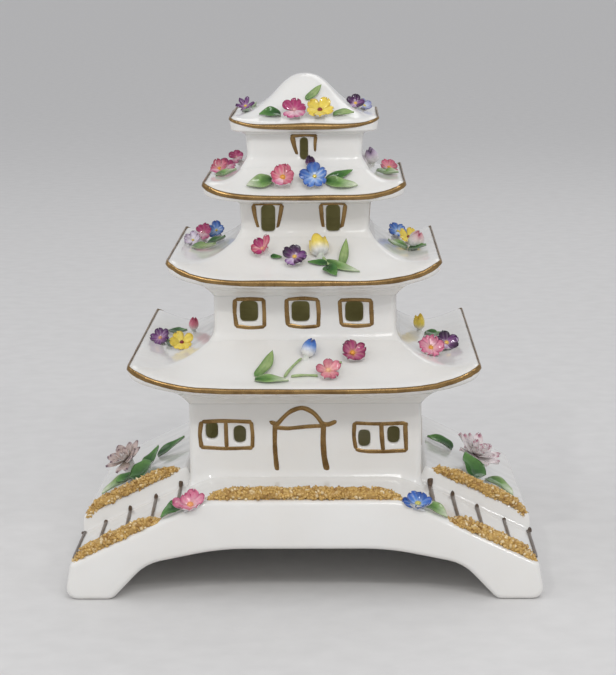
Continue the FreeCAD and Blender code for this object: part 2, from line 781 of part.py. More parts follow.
# Open flowers: node, ground, side, along, share down, radius, height, petals, azimuth, elevation
ROOF_FLOWERS = (
    ("roof_1_front_salmon_flower", "storey_1_roof", "front", 6.7, 0.67, 3.0, 2.6, 5, 0, 40),
    ("roof_1_front_crimson_pansy", "storey_1_roof", "front", 13.6, 0.32, 3.3, 2.6, 5, 8, 40),
    ("roof_1_left_purple_flower", "storey_1_roof", "left", -5.8, 0.76, 2.8, 2.4, 5, -15, 45),
    ("roof_1_left_yellow_flower", "storey_1_roof", "left", -13.8, 0.43, 2.9, 2.4, 5, -10, 45),
    ("roof_1_right_pink_flower", "storey_1_roof", "right", -24.0, 0.45, 3.4, 2.8, 8, 15, 45),
    ("roof_1_right_purple_flower", "storey_1_roof", "right", -12.9, 0.68, 2.8, 2.4, 5, 25, 45),
    ("roof_2_front_pink_flower", "storey_2_roof", "front", -12.5, 0.31, 3.0, 2.6, 4, -5, 38),
    ("roof_2_front_purple_pansy", "storey_2_roof", "front", -2.3, 0.52, 3.2, 2.6, 5, 0, 38),
    ("roof_2_left_pink_flower", "storey_2_roof", "left", 14.0, 0.66, 2.4, 3.6, 5, -15, 45),
    ("roof_2_left_blue_flower", "storey_2_roof", "left", 16.5, 0.43, 2.3, 3.4, 5, -10, 45),
    ("roof_2_left_lilac_flower", "storey_2_roof", "left", 2.0, 0.77, 2.5, 2.6, 6, -25, 45),
    ("roof_2_right_blue_flower", "storey_2_roof", "right", 14.0, 0.43, 2.3, 3.0, 5, 15, 45),
    ("roof_2_right_yellow_flower", "storey_2_roof", "right", 7.5, 0.62, 2.3, 3.0, 5, 20, 45),
    ("roof_3_front_pink_flower", "storey_3_roof", "front", -6.2, 0.52, 3.3, 2.7, 6, 0, 36),
    ("roof_3_front_blue_flower", "storey_3_roof", "front", 2.6, 0.48, 3.6, 2.9, 5, 0, 36),
    ("roof_3_left_pink_flowers", "storey_3_roof", "left", -4.0, 0.71, 2.5, 2.5, 5, -20, 45),
    ("roof_3_left_pink_flowers", "storey_3_roof", "left", 3.0, 0.56, 2.1, 2.6, 5, -15, 45),
    ("roof_3_left_pink_flowers", "storey_3_roof", "left", 10.0, 0.34, 2.3, 3.6, 5, -10, 45),
    ("roof_3_right_pink_flower", "storey_3_roof", "right", -3.0, 0.69, 2.4, 2.2, 5, 20, 45),
    ("roof_4_front_crimson_flower", "domed_top_roof", "front", -2.8, 0.72, 3.0, 2.5, 5, 0, 40),
    ("roof_4_front_yellow_flower", "domed_top_roof", "front", 4.8, 0.72, 3.3, 2.6, 5, 0, 40),
    ("roof_4_side_flowers", "domed_top_roof", "left", 0.0, 0.8, 2.2, 2.0, 5, -15, 45),
    ("roof_4_side_flowers", "domed_top_roof", "right", -5.0, 0.67, 2.3, 1.9, 5, 15, 45),
    ("roof_4_side_flowers", "domed_top_roof", "right", 1.5, 0.8, 1.7, 1.5, 5, 25, 45),
)

# Buds: node, ground, side, along, share down, radius, length, azimuth, elevation
ROOF_BUDS = (
    ("roof_1_front_blue_tulip", "storey_1_roof", "front", 0.0, 0.335, 2.1, 4.6, 165, 50),
    ("roof_1_left_pink_bud", "storey_1_roof", "left", 10.0, 0.37, 1.6, 4.0, 20, 70),
    ("roof_1_right_yellow_tulip", "storey_1_roof", "right", 10.0, 0.33, 1.9, 4.4, -10, 65),
    ("roof_2_front_yellow_tulip", "storey_2_roof", "front", 4.4, 0.44, 2.2, 4.8, 175, 58),
    ("roof_2_right_tulip", "storey_2_roof", "right", -3.0, 0.72, 1.9, 4.4, 20, 60),
    ("roof_3_front_dark_bud", "storey_3_roof", "front", 1.4, 0.15, 1.2, 2.6, 0, 85),
    ("roof_3_right_tulip", "storey_3_roof", "right", 6.0, 0.33, 1.8, 4.4, 10, 75),
)

# Leaves: node, ground, side, along, share down, direction, length, width, lift of the tip
ROOF_LEAVES = (
    ("roof_1_front_leaves", "storey_1_roof", "front", -13.3, 0.72, 155, 11.5, 2.8, 1.0),
    ("roof_1_front_leaves", "storey_1_roof", "front", -11.6, 0.86, 98, 8.6, 2.0, 0.4),
    ("roof_1_left_leaves", "storey_1_roof", "left", 14.3, 0.7, 56, 4.6, 2.4, 0.8),
    ("roof_1_left_leaves", "storey_1_roof", "left", -9.0, 0.6, 190, 5.4, 2.2, 0.8),
    ("roof_1_right_leaves", "storey_1_roof", "right", 4.4, 0.4, 99, 5.6, 2.6, 1.0),
    ("roof_1_right_leaves", "storey_1_roof", "right", -18.5, 0.5, 175, 5.4, 2.2, 0.8),
    ("roof_2_front_leaves", "storey_2_roof", "front", -8.2, 0.49, 125, 3.2, 1.7, 0.4),
    ("roof_2_front_leaves", "storey_2_roof", "front", 2.5, 0.66, 41, 5.6, 1.8, 0.3),
    ("roof_2_front_leaves", "storey_2_roof", "front", 10.9, 0.8, 155, 11.0, 2.8, 1.4),
    ("roof_2_left_leaves", "storey_2_roof", "left", -2.6, 0.7, 5, 6.0, 2.4, 0.8),
    ("roof_2_left_leaves", "storey_2_roof", "left", 5.0, 0.5, 165, 5.0, 2.2, 0.8),
    ("roof_2_right_leaves", "storey_2_roof", "right", -1.5, 0.45, 0, 5.0, 2.2, 0.8),
    ("roof_2_right_leaves", "storey_2_roof", "right", -9.5, 0.67, 8, 6.0, 2.4, 0.6),
    ("roof_3_front_leaves", "storey_3_roof", "front", -15.9, 0.83, 126, 5.8, 2.2, 0.5),
    ("roof_3_front_leaves", "storey_3_roof", "front", 8.4, 0.27, 70, 6.2, 2.2, 0.5),
    ("roof_3_front_leaves", "storey_3_roof", "front", 8.2, 0.81, 112, 8.0, 2.4, 0.5),
    ("roof_3_left_leaves", "storey_3_roof", "left", -8.6, 0.62, 10, 5.0, 2.2, 0.6),
    ("roof_3_left_leaves", "storey_3_roof", "left", 6.4, 0.76, 170, 5.0, 2.2, 0.6),
    ("roof_3_right_leaves", "storey_3_roof", "right", -7.0, 0.5, 15, 5.0, 2.2, 0.6),
    ("roof_3_right_leaves", "storey_3_roof", "right", 2.4, 0.75, 175, 5.4, 2.2, 0.6),
    ("roof_4_leaves", "domed_top_roof", "front", -12.4, 0.76, 95, 4.8, 1.9, 0.4),
    ("roof_4_leaves", "domed_top_roof", "front", 0.4, 0.5, 126, 5.2, 1.9, 0.6),
    ("roof_4_leaves", "domed_top_roof", "front", 9.6, 0.77, 103, 4.8, 1.9, 0.4),
    ("roof_4_leaves", "domed_top_roof", "left", -4.6, 0.8, 5, 4.6, 2.0, 0.5),
    ("roof_4_leaves", "domed_top_roof", "left", 4.4, 0.74, 175, 4.6, 2.0, 0.5),
    ("roof_4_leaves", "domed_top_roof", "right", 5.0, 0.76, 170, 4.6, 2.0, 0.5),
)

# Stems: node, ground, side, along, share down, direction, length
ROOF_STEMS = (
    ("roof_1_front_leaves", "storey_1_roof", "front", -5.4, 0.735, 150, 7.6),
    ("roof_1_front_leaves", "storey_1_roof", "front", -2.6, 0.72, 92, 4.8),
    ("roof_2_front_leaves", "storey_2_roof", "front", 6.4, 0.53, 40, 5.4),
)

# Front edge of the bridge: node, distance from the middle, inset from the front, and the rest as
# above. Garden: node, x as a share of the slope from the house wall outwards, y, and the rest as
# above. Negative places are to the left or the front.
BRIDGE_FLOWERS = (
    ("bridge_pink_flower", -30.6, 3.5, 3.2, 2.4, 6, 0, 35),
    ("bridge_blue_flower", 30.7, 3.5, 3.2, 2.4, 5, 0, 35),
)
BRIDGE_LEAVES = (
    ("bridge_flower_leaves", -34.6, 3.2, -90, 3.4, 3.0, 0.3),
    ("bridge_flower_leaves", 34.6, 3.2, 90, 3.4, 2.4, 0.2),
)
GARDEN_FLOWERS = (
    ("garden_left_chrysanthemum", -0.69, 9.0, 6.4, 6.0, 12, -10, 50),
    ("garden_right_chrysanthemum", 0.61, 9.0, 7.2, 6.4, 12, 10, 50),
)
GARDEN_LEAVES = (
    ("garden_left_leaves", -0.46, 8.0, 112, 8.0, 3.2, 2.5),
    ("garden_left_leaves", -0.54, -10.0, 178, 6.0, 5.0, 1.4),
    ("garden_left_leaves", -0.66, -6.0, -41, 10.0, 3.4, 0.6),
    ("garden_right_leaves", 0.38, 10.0, -100, 6.0, 3.0, 2.6),
    ("garden_right_leaves", 0.55, -14.0, -150, 7.0, 5.0, 3.6),
    ("garden_right_leaves", 0.64, -6.0, 45, 10.5, 3.8, 0.6),
)


def place(ground, side, along, share):
    """Point in plan on one side of a roof."""
    if ground == "domed_top_roof":
        out = share * roof_4_half
    else:
        half, foot_half = ROOFS[ground][2], ROOFS[ground][6]
        out = foot_half + share * (half - foot_half)
    if side == "front":
        return along, -out
    if side == "left":
        return -out, along
    return out, along


def garden_x(share):
    """Distance from the middle of a place in the garden."""
    inner = storey_1_half
    outer = bridge_width / 2 - deck_end_inset
    return math.copysign(inner + abs(share) * (outer - inner), share)


def roof_sprays():
    """Flowers, buds, leaves and stems on the four roofs, as node and solid pairs."""
    pieces = []
    for node, ground, side, along, share, radius, height, lobes, azimuth, elevation in ROOF_FLOWERS:
        x, y = place(ground, side, along, share)
        pieces.append((node, bloom(ground, x, y, radius, height, lobes, azimuth, elevation)))
    for node, ground, side, along, share, radius, length, azimuth, elevation in ROOF_BUDS:
        x, y = place(ground, side, along, share)
        pieces.append((node, bud(ground, x, y, radius, length, azimuth, elevation)))
    for node, ground, side, along, share, direction, length, width, lift in ROOF_LEAVES:
        x, y = place(ground, side, along, share)
        pieces.append((node, blade(ground, x, y, direction, length, width, lift)))
    for node, ground, side, along, share, direction, length in ROOF_STEMS:
        x, y = place(ground, side, along, share)
        pieces.append((node, stem(ground, x, y, direction, length)))
    return pieces


def bridge_sprays():
    """Flowers and leaves at the bridge's front edge and in the gardens, as node and solid pairs."""
    ground = "bridge"
    pieces = []
    for node, x, inset, radius, height, lobes, azimuth, elevation in BRIDGE_FLOWERS:
        y = -bridge_depth / 2 + inset
        pieces.append((node, bloom(ground, x, y, radius, height, lobes, azimuth, elevation)))
    for node, x, inset, direction, length, width, lift in BRIDGE_LEAVES:
        y = -bridge_depth / 2 + inset
        pieces.append((node, blade(ground, x, y, direction, length, width, lift)))
    for node, share, y, radius, height, lobes, azimuth, elevation in GARDEN_FLOWERS:
        x = garden_x(share)
        pieces.append((node, double_bloom(ground, x, y, radius, height, lobes, azimuth, elevation)))
    for node, share, y, direction, length, width, lift in GARDEN_LEAVES:
        pieces.append((node, blade(ground, garden_x(share), y, direction, length, width, lift)))
    return pieces


def castings():
    """The luted china body, keyed by node name."""
    return {
        "bridge": bridge(),
        "storey_1_walls": storey_1(),
        "storey_1_roof": roof(*ROOFS["storey_1_roof"]),
        "storey_2_walls": storey_2(),
        "storey_2_roof": roof(*ROOFS["storey_2_roof"]),
        "storey_3_walls": storey_3(),
        "storey_3_roof": roof(*ROOFS["storey_3_roof"]),
        "storey_4_walls": storey_4(),
        "domed_top_roof": domed_roof(),
    }


def crusts():
    """The grit strips on the bridge front and on the garden beds, as node and solid pairs."""
    front = -bridge_depth / 2 + bridge_edge_radius
    pieces = [("grit_front_centre", grit_centre())]
    for side, name in ((-1, "left"), (1, "right")):
        strip = grit_slope(side, grit_slope_start, 0, grit_width, grit_height, front)
        bed = grit_slope(side, grit_bed_start, bank_front_rise, grit_bed_width, grit_bed_height, -bank_front)
        pieces.append(("grit_front_" + name, strip))
        pieces.append(("grit_bed_" + name, bed))
    return pieces


def write(name, solids):
    """Writes one node, which may be a group of separate solids."""
    for solid in solids:
        if not solid.isValid():
            raise ValueError(name + " has a bad solid")
    shape = solids[0] if len(solids) == 1 else Part.makeCompound(solids)
    shape.exportStep("parts/" + name + ".step")


def assembly():
    """Every node's solids, keyed by node name."""
    body = castings()
    nodes = {name: [shape] for name, shape in body.items()}
    pieces = [("pastille_dish", pastille_dish()), ("incense_pastille", incense_pastille())]
    pieces += crusts() + bridge_sprays() + roof_sprays()
    for name, solid in pieces:
        nodes.setdefault(name, []).append(solid)
    return nodes


def main():
    for name, solids in assembly().items():
        write(name, solids)


if __name__ == "__main__":
    main()
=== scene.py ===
import math
import random

import bmesh
import bpy
from mathutils import Matrix, Vector
from mathutils.noise import noise


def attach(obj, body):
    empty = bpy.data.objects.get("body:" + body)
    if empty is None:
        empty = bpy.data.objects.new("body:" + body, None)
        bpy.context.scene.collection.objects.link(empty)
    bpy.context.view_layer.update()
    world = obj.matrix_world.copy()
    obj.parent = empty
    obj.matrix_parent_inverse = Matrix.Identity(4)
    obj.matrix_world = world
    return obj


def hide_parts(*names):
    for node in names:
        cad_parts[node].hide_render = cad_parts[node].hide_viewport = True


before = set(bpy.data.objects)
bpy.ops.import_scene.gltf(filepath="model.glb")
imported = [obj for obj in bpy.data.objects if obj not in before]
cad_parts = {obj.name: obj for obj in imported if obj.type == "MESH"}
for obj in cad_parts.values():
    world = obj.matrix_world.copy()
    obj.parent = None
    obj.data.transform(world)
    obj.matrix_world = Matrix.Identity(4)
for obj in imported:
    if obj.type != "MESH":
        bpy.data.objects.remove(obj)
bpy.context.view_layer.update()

# Four-storey china pagoda on a humped bridge, with gilt lines and hand-made flowers.
# Lengths below are in millimetres, +Z up, front towards -Y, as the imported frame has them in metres.

bl_info = {
    "name": "Pagoda pastille burner",
    "version": (1, 0, 0),
    "blender": (4, 5, 0),
    "location": "View3D > Sidebar > Burner",
    "description": "Builds the finished look of a china pagoda pastille burner round its packed frame",
    "category": "Add Mesh",
}

MM = 0.001
UP = Vector((0, 0, 1))


# Sizes of the house

WALL = 2.4
WALL_CORNER = 1.6
LIP_CORNER = 3.0
LIP_THICKNESS = 2.3
LIP_SIDE_DEPTH = 3.9
LIP_ROUND = 1.0
CORNER_SWEEP = 5.0
DECK = 28.0
TOP = 140.0

# Storey walls: half width and height at the foot, then at the top
STOREYS = {
    "storey_1_walls": (33.0, 28.0, 33.0, 49.0),
    "storey_2_walls": (25.9, 67.0, 25.9, 78.7),
    "storey_3_walls": (18.1, 95.7, 18.7, 104.2),
    "storey_4_walls": (16.1, 116.3, 16.9, 123.7),
}

# Roofs: half width and height of the wall's top below, half width at the lip, lip heights at the
# front and the sides, gutter height, half width and height of the wall's foot above
ROOFS = {
    "storey_1_roof": (33.0, 49.0, 48.6, 56.8, 62.9, 60.9, 25.9, 67.0),
    "storey_2_roof": (25.9, 78.7, 38.2, 85.2, 90.6, 89.0, 18.1, 95.7),
    "storey_3_roof": (18.7, 104.2, 28.5, 107.9, 111.2, 111.1, 16.1, 116.3),
    "domed_top_roof": (16.9, 123.7, 21.1, 127.2, 129.0, 0.0, 0.0, TOP),
}

# Window openings of each storey: width, height, and the centres as (across, height)
WINDOWS = {
    "storey_1_walls": (3.1, 4.6, ((-26.5, 41.3), (-18.6, 40.1), (16.7, 38.9), (25.0, 39.9))),
    "storey_2_walls": (4.8, 5.6, ((-15.9, 74.3), (-1.2, 74.2), (14.0, 74.1))),
    "storey_3_walls": (3.7, 7.4, ((-10.4, 99.9), (8.1, 99.9))),
    "storey_4_walls": (2.0, 6.2, ((-0.1, 119.6),)),
}
WINDOW_MARGIN = 0.3
WINDOW_ROUND = 1.1
STOKE_WIDTH = 26.0
STOKE_HEIGHT = 17.0

# Profile shares, as in the frame's own roofs
COVE = ((0.16, 0.30), (0.46, 0.60), (0.88, 0.93))
LIP_ROLL = ((0.3, 0.8, 1.25), (0.0, 0.4, 0.5), (1.0, 0.0, 0.0))
TOP_SHARES = (0.82, 0.6, 0.34, 0.12)
GUTTER_SHARE = 0.6
FRONT_BEND = 1.25
RIM_BEND = 1.5
GUTTER_BEND = 1.8
DOME = ((0.84, 0.07, 0.5), (0.66, 0.22, 0.25), (0.52, 0.41, 0.1), (0.39, 0.64, 0.0),
        (0.285, 0.82, 0.0), (0.165, 0.955, 0.0), (0.05, 1.0, 0.0))

# Bridge
BRIDGE_WIDTH = 132.0
BRIDGE_DEPTH = 121.0
DECK_FLAT = 54.0
DECK_END_HEIGHT = 10.2
DECK_END_INSET = 1.8
FOOT_WIDTH = 13.2
ARCH_RISE = 14.2
BANK_INNER = 33.0
BANK_FRONT = 28.0
BANK_FRONT_RISE = 5.0
BANK_BACK_RISE = 1.5


# Surfaces

def side_height(half, front_z, side_z, x):
    """Height of a ring's front side at x, which sweeps up towards the corners."""
    return front_z + (side_z - front_z) * (abs(x) / half) ** CORNER_SWEEP


def underside_rings(wall_half, wall_top, half, front_lip, side_lip):
    """Rings from the wall's top out along the cove."""
    rings = [(wall_half, WALL_CORNER, wall_top, wall_top)]
    front_rise = front_lip - LIP_THICKNESS - wall_top
    side_rise = side_lip - LIP_SIDE_DEPTH - wall_top
    for share, rise in COVE:
        corner = WALL_CORNER + share * LIP_CORNER / 2
        out = wall_half + share * (half - wall_half)
        rings.append((out, corner, wall_top + rise * front_rise, wall_top + rise * side_rise))
    return rings


def lip_rings(half, front_lip, side_lip):
    """Rings round the rolled lip, from below to above."""
    return [(half - inset * LIP_ROUND, LIP_CORNER, front_lip - front_drop * LIP_THICKNESS,
             side_lip - side_drop * LIP_THICKNESS) for inset, front_drop, side_drop in LIP_ROLL]


def top_rings(half, front_lip, side_lip, gutter, foot_half, foot):
    """Rings from the lip, through the side gutters, up to the next wall's foot."""
    rings = []
    for share in TOP_SHARES:
        front_z = foot - (foot - front_lip) * (1 - (1 - share) ** FRONT_BEND)
        if share > GUTTER_SHARE:
            outer = (share - GUTTER_SHARE) / (1 - GUTTER_SHARE)
            side_z = gutter + (side_lip - gutter) * outer ** RIM_BEND
        else:
            side_z = gutter + (foot - gutter) * (1 - share / GUTTER_SHARE) ** GUTTER_BEND
        corner = WALL_CORNER + share * (LIP_CORNER - WALL_CORNER)
        rings.append((foot_half + share * (half - LIP_ROUND - foot_half), corner, front_z, side_z))
    rings.append((foot_half, WALL_CORNER, foot, foot))
    return rings


def dome_rings():
    """Rings from the top roof's lip to its crown."""
    half, front_lip, side_lip = ROOFS["domed_top_roof"][2:5]
    rings = []
    for share, height, side_share in DOME:
        front_z = front_lip + height * (TOP - front_lip)
        reach = share * half
        corner = min(LIP_CORNER * (1 - share) + 0.3 * reach, 0.8 * reach)
        rings.append((reach, corner, front_z, front_z + side_share * (side_lip - front_lip)))
    return rings


def upper_rings(node):
    """Rings of a roof's upper surface, from the lip inwards."""
    half, front_lip, side_lip, gutter, foot_half, foot = ROOFS[node][2:]
    rings = lip_rings(half, front_lip, side_lip)[-1:]
    if node == "domed_top_roof":
        return rings + dome_rings()
    return rings + top_rings(half, front_lip, side_lip, gutter, foot_half, foot)


def deck_at(x):
    """Height of the bridge's walking surface at a distance x from the middle."""
    end = BRIDGE_WIDTH / 2 - DECK_END_INSET
    slope = (DECK - DECK_END_HEIGHT) / (end - DECK_FLAT / 2)
    return DECK - slope * max(0.0, abs(x) - DECK_FLAT / 2)


def bank_height(y):
    """Rise of the garden bank above the deck at a depth y, lower towards the back."""
    share = max(0.0, (y + BANK_FRONT) / (BRIDGE_DEPTH / 2 + BANK_FRONT))
    return BANK_FRONT_RISE + share * (BANK_BACK_RISE - BANK_FRONT_RISE)


def bank_rise(x, y):
    """Rise of the ground above the deck, which is none outside the garden banks."""
    if abs(x) < BANK_INNER or y < -BANK_FRONT:
        return 0.0
    return bank_height(y)


def ground_height(ground, x, y):
    """Height of the china at (x, y) on the bridge or on a roof."""
    if ground == "bridge":
        return deck_at(x) + bank_rise(x, y)
    out = max(abs(x), abs(y))
    rings = upper_rings(ground)[::-1]
    for inner, outer in zip(rings, rings[1:]):
        if out <= outer[0]:
            break
    share = min(1.0, max(0.0, (out - inner[0]) / (outer[0] - inner[0])))
    heights = []
    for half, _, front_z, side_z in (inner, outer):
        across = half * abs(x) / out if abs(y) >= abs(x) else half
        heights.append(side_height(half, front_z, side_z, across))
    return heights[0] + share * (heights[1] - heights[0])


def ground_normal(ground, x, y):
    """Upward direction of the china at (x, y)."""
    step = 0.5
    slope_x = (ground_height(ground, x + step, y) - ground_height(ground, x - step, y)) / (2 * step)
    slope_y = (ground_height(ground, x, y + step) - ground_height(ground, x, y - step)) / (2 * step)
    return Vector((-slope_x, -slope_y, 1)).normalized()


def on_ground(ground, x, y):
    """Point on the china at (x, y), and the china's upward direction there."""
    return Vector((x, y, ground_height(ground, x, y))), ground_normal(ground, x, y)


# Mesh helpers

class Clay:
    """Points, faces and a colour for each point, gathered before they become a mesh."""

    def __init__(self):
        self.points = []
        self.faces = []
        self.tints = []
        self.slots = []

    def add(self, points, faces, tint=(1, 1, 1), slot=0):
        """Adds a shell. The tint is one colour, or one for each point."""
        start = len(self.points)
        self.points += [Vector(p) for p in points]
        self.faces += [tuple(start + i for i in face) for face in faces]
        tints = tint if isinstance(tint, list) else [tint] * len(points)
        self.tints += tints
        self.slots += [slot] * len(faces)

    def loft(self, rings, slot=0, ends=(), wrap=False):
        """Adds a skin over rings that have the same number of points, with end faces if they are given."""
        faces = loop_faces(len(rings), len(rings[0]), wrap=wrap) + list(ends)
        self.add([p for ring in rings for p in ring], faces, slot=slot)

    def move(self, matrix):
        """Moves every point by a matrix."""
        self.points = [matrix @ p for p in self.points]

    def join(self, other):
        """Adds another gathering of shells."""
        start = len(self.points)
        self.points += other.points
        self.faces += [tuple(start + i for i in face) for face in other.faces]
        self.tints += other.tints
        self.slots += other.slots


def make_piece(name, clay, materials):
    """A smooth mesh object in metres from gathered shells, with its faces turned outwards."""
    mesh = bpy.data.meshes.new(name)
    mesh.from_pydata([tuple(p * MM) for p in clay.points], [], clay.faces)
    for material in materials:
        mesh.materials.append(material)
    mesh.polygons.foreach_set("material_index", clay.slots)
    tint = mesh.attributes.new("tint", "FLOAT_COLOR", "POINT")
    tint.data.foreach_set("color", [c for t in clay.tints for c in (*t, 1.0)])
    work = bmesh.new()
    work.from_mesh(mesh)
    bmesh.ops.remove_doubles(work, verts=work.verts, dist=1e-7)
    bmesh.ops.recalc_face_normals(work, faces=work.faces)
    work.to_mesh(mesh)
    work.free()
    mesh.shade_smooth()
    piece = bpy.data.objects.new(name, mesh)
    bpy.context.scene.collection.objects.link(piece)
    return piece


def freeze(piece):
    """Turns the piece with its modifiers into a plain mesh."""
    bpy.context.view_layer.update()
    graph = bpy.context.evaluated_depsgraph_get()
    mesh = bpy.data.meshes.new_from_object(piece.evaluated_get(graph), preserve_all_data_layers=True,
                                           depsgraph=graph)
    piece.modifiers.clear()
    old = piece.data
    piece.data = mesh
    bpy.data.meshes.remove(old)
    return piece


def settle(piece, nodes, body="root"):
    """Puts a finished piece under its body and hides the frame nodes it stands for."""
    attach(piece, body)
    if nodes:
        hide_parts(*nodes)
    return piece


def loop_faces(rings, around, closed_ends=False, wrap=False):
    """Quads between rings of points, with optional caps or a wrap from the last ring to the first."""
    faces = []
    last = rings if wrap else rings - 1
    for r in range(last):
        for i in range(around):
            a = r * around + i
            b = r * around + (i + 1) % around
            c = ((r + 1) % rings) * around + (i + 1) % around
            d = ((r + 1) % rings) * around + i
            faces.append((a, b, c, d))
    if closed_ends:
        faces.append(tuple(range(around))[::-1])
        faces.append(tuple((rings - 1) * around + i for i in range(around)))
    return faces


def ring_points(half, corner, front_z, side_z, run=26, turn=6):
    """Points round a square ring with rounded corners."""
    straight = half - corner
    quarter = [(half, straight * (2 * i / run - 1)) for i in range(run)]
    for i in range(turn):
        angle = (i / turn) * math.pi / 2
        quarter.append((straight + corner * math.cos(angle), straight + corner * math.sin(angle)))
    points = []
    for c, s in ((1, 0), (0, 1), (-1, 0), (0, -1)):
        for x, y in quarter:
            px, py = c * x - s * y, s * x + c * y
            points.append(Vector((px, py, side_height(half, front_z, side_z, px))))
    return points


def curve_steps(values, i, steps):
    """Values at even steps along a Catmull-Rom curve, from number i up to the next, which isn't included."""
    a = values[max(i - 1, 0)]
    b = values[i]
    c = values[i + 1]
    d = values[min(i + 2, len(values) - 1)]
    made = []
    for k in range(steps):
        t = k / steps
        made.append(0.5 * (2 * b + (c - a) * t + (2 * a - 5 * b + 4 * c - d) * t * t
                           + (3 * b - a - 3 * c + d) * t ** 3))
    return made


def between(rings, steps):
    """Rings with smooth steps put between them."""
    made = []
    for i in range(len(rings) - 1):
        made += zip(*[curve_steps(values, i, steps) for values in zip(*rings)])
    made.append(rings[-1])
    return made


def soften(rings, passes):
    """Rounds the corners of a section by drawing each ring towards its neighbours."""
    for _ in range(passes):
        middle = [tuple((a + 2 * b + c) / 4 for a, b, c in zip(*three))
                  for three in zip(rings, rings[1:], rings[2:])]
        rings = rings[:1] + middle + rings[-1:]
    return rings


# Materials

class Finish:
    """A Principled material that is being put together."""

    def __init__(self, name, colour, roughness, metallic=0.0):
        self.material = bpy.data.materials.new(name)
        self.material.use_nodes = True
        self.nodes = self.material.node_tree.nodes
        self.links = self.material.node_tree.links
        self.inputs = self.nodes["Principled BSDF"].inputs
        self.inputs["Base Color"].default_value = (*colour, 1)
        self.inputs["Roughness"].default_value = roughness
        self.inputs["Metallic"].default_value = metallic

    def noise(self, scale, detail, roughness=0.5):
        """Noise on the piece's own coordinates, with its scale in waves per metre."""
        place = self.nodes.new("ShaderNodeTexCoord")
        made = self.nodes.new("ShaderNodeTexNoise")
        made.inputs["Scale"].default_value = scale
        made.inputs["Detail"].default_value = detail
        made.inputs["Roughness"].default_value = roughness
        self.links.new(place.outputs["Object"], made.inputs["Vector"])
        return made.outputs["Fac"]

    def attribute(self, name, output):
        """A value or colour that is held on the mesh."""
        made = self.nodes.new("ShaderNodeAttribute")
        made.attribute_name = name
        return made.outputs[output]

    def ramp(self, source, stops, target="Base Color"):
        """Colour ramp over a value, led to one of the shader's inputs if it is named."""
        made = self.nodes.new("ShaderNodeValToRGB")
        elements = made.color_ramp.elements
        for place, (position, colour) in ((0, stops[0]), (1, stops[-1])):
            elements[place].position = position
            elements[place].color = (*colour, 1)
        for position, colour in stops[1:-1]:
            elements.new(position).color = (*colour, 1)
        self.links.new(source, made.inputs["Fac"])
        if target:
            self.links.new(made.outputs["Color"], self.inputs[target])
        return made.outputs["Color"]

    def multiply(self, colour, wash, share):
        """Makes the base colour one colour times another, by a share."""
        made = self.nodes.new("ShaderNodeMix")
        made.data_type = "RGBA"
        made.blend_type = "MULTIPLY"
        made.inputs["Factor"].default_value = share
        self.links.new(colour, made.inputs["A"])
        self.links.new(wash, made.inputs["B"])
        self.links.new(made.outputs["Result"], self.inputs["Base Color"])

    def translucent(self, weight, radius):
        """Lets some light in under the surface. The radius is in metres for red, green and blue."""
        self.inputs["Subsurface Weight"].default_value = weight
        self.inputs["Subsurface Radius"].default_value = radius

    def bumps(self, *parts):
        """Chained bumps from (height, distance in metres, strength)."""
        before = None
        for source, distance, strength in parts:
            made = self.nodes.new("ShaderNodeBump")
            made.inputs["Distance"].default_value = distance
            made.inputs["Strength"].default_value = strength
            self.links.new(source, made.inputs["Height"])
            if before:
                self.links.new(before.outputs["Normal"], made.inputs["Normal"])
            before = made
        self.links.new(before.outputs["Normal"], self.inputs["Normal"])


def glazed_china(name, pale, warm, roughness):
    """White glazed china: a slow unevenness in tone and surface, and fine pits in the glaze."""
    made = Finish(name, pale, roughness)
    made.ramp(made.noise(45.0, 3.0), ((0.3, warm), (0.7, pale)))
    made.translucent(0.08, (0.004, 0.0035, 0.003))
    made.inputs["Subsurface Scale"].default_value = 0.5
    made.bumps((made.noise(70.0, 1.5), 0.0012, 0.35), (made.noise(900.0, 2.0), 0.00008, 0.25))
    return made.material


def inside_painted_shade_glow(name):
    """Unglazed inside in dark olive, which is painted shade for white china in shadow. A faint emission is a
    painted glow for light coming through the thin china.
    """
    # Painted shade: the dark olive base colour stands in for white china in shadow.
    made = Finish(name, (0.42, 0.39, 0.19), 0.7)
    cloud = made.noise(160.0, 4.0)
    tone = made.ramp(cloud, ((0.3, (0.30, 0.27, 0.12)), (0.75, (0.46, 0.43, 0.21))))
    # Painted glow: the emission lights the inside though it is no lamp.
    made.links.new(tone, made.inputs["Emission Color"])
    made.inputs["Emission Strength"].default_value = 0.11
    made.bumps((cloud, 0.0003, 0.4))
    return made.material


def gilt(name, colour, deep):
    """Burnished gilt over the glaze, thin in places so that brown shows."""
    made = Finish(name, colour, 0.25, 0.8)
    cloud = made.noise(240.0, 3.0, 0.6)
    made.ramp(cloud, ((0.3, deep), (0.6, colour)))
    made.ramp(cloud, ((0.3, (0.34, 0.34, 0.34)), (0.7, (0.18, 0.18, 0.18))), "Roughness")
    made.bumps((cloud, 0.0001, 0.3))
    return made.material


def step_paint(name, colour):
    """Dark brown brush lines, thinner and paler in places."""
    made = Finish(name, colour, 0.28)
    cloud = made.noise(700.0, 3.0)
    made.ramp(cloud, ((0.4, colour), (0.75, tuple(2.2 * c for c in colour))))
    made.bumps((cloud, 0.00005, 0.3))
    return made.material


def grit_glaze(name, dark, ochre, pale):
    """Crumbs of china washed with ochre and gilt. Each crumb has its own shade."""
    made = Finish(name, ochre, 0.2, 0.1)
    light = tuple(0.5 * (a + b) for a, b in zip(ochre, pale))
    tones = ((0.0, dark), (0.25, ochre), (0.78, ochre), (0.93, light), (1.0, pale))
    tone = made.ramp(made.attribute("shade", "Fac"), tones, None)
    wash = made.ramp(made.noise(140.0, 2.0), ((0.3, (0.72, 0.64, 0.52)), (0.6, (1.0, 1.0, 1.0))), None)
    made.multiply(tone, wash, 0.5)
    made.bumps((made.noise(2500.0, 2.0), 0.00015, 0.6))
    return made.material


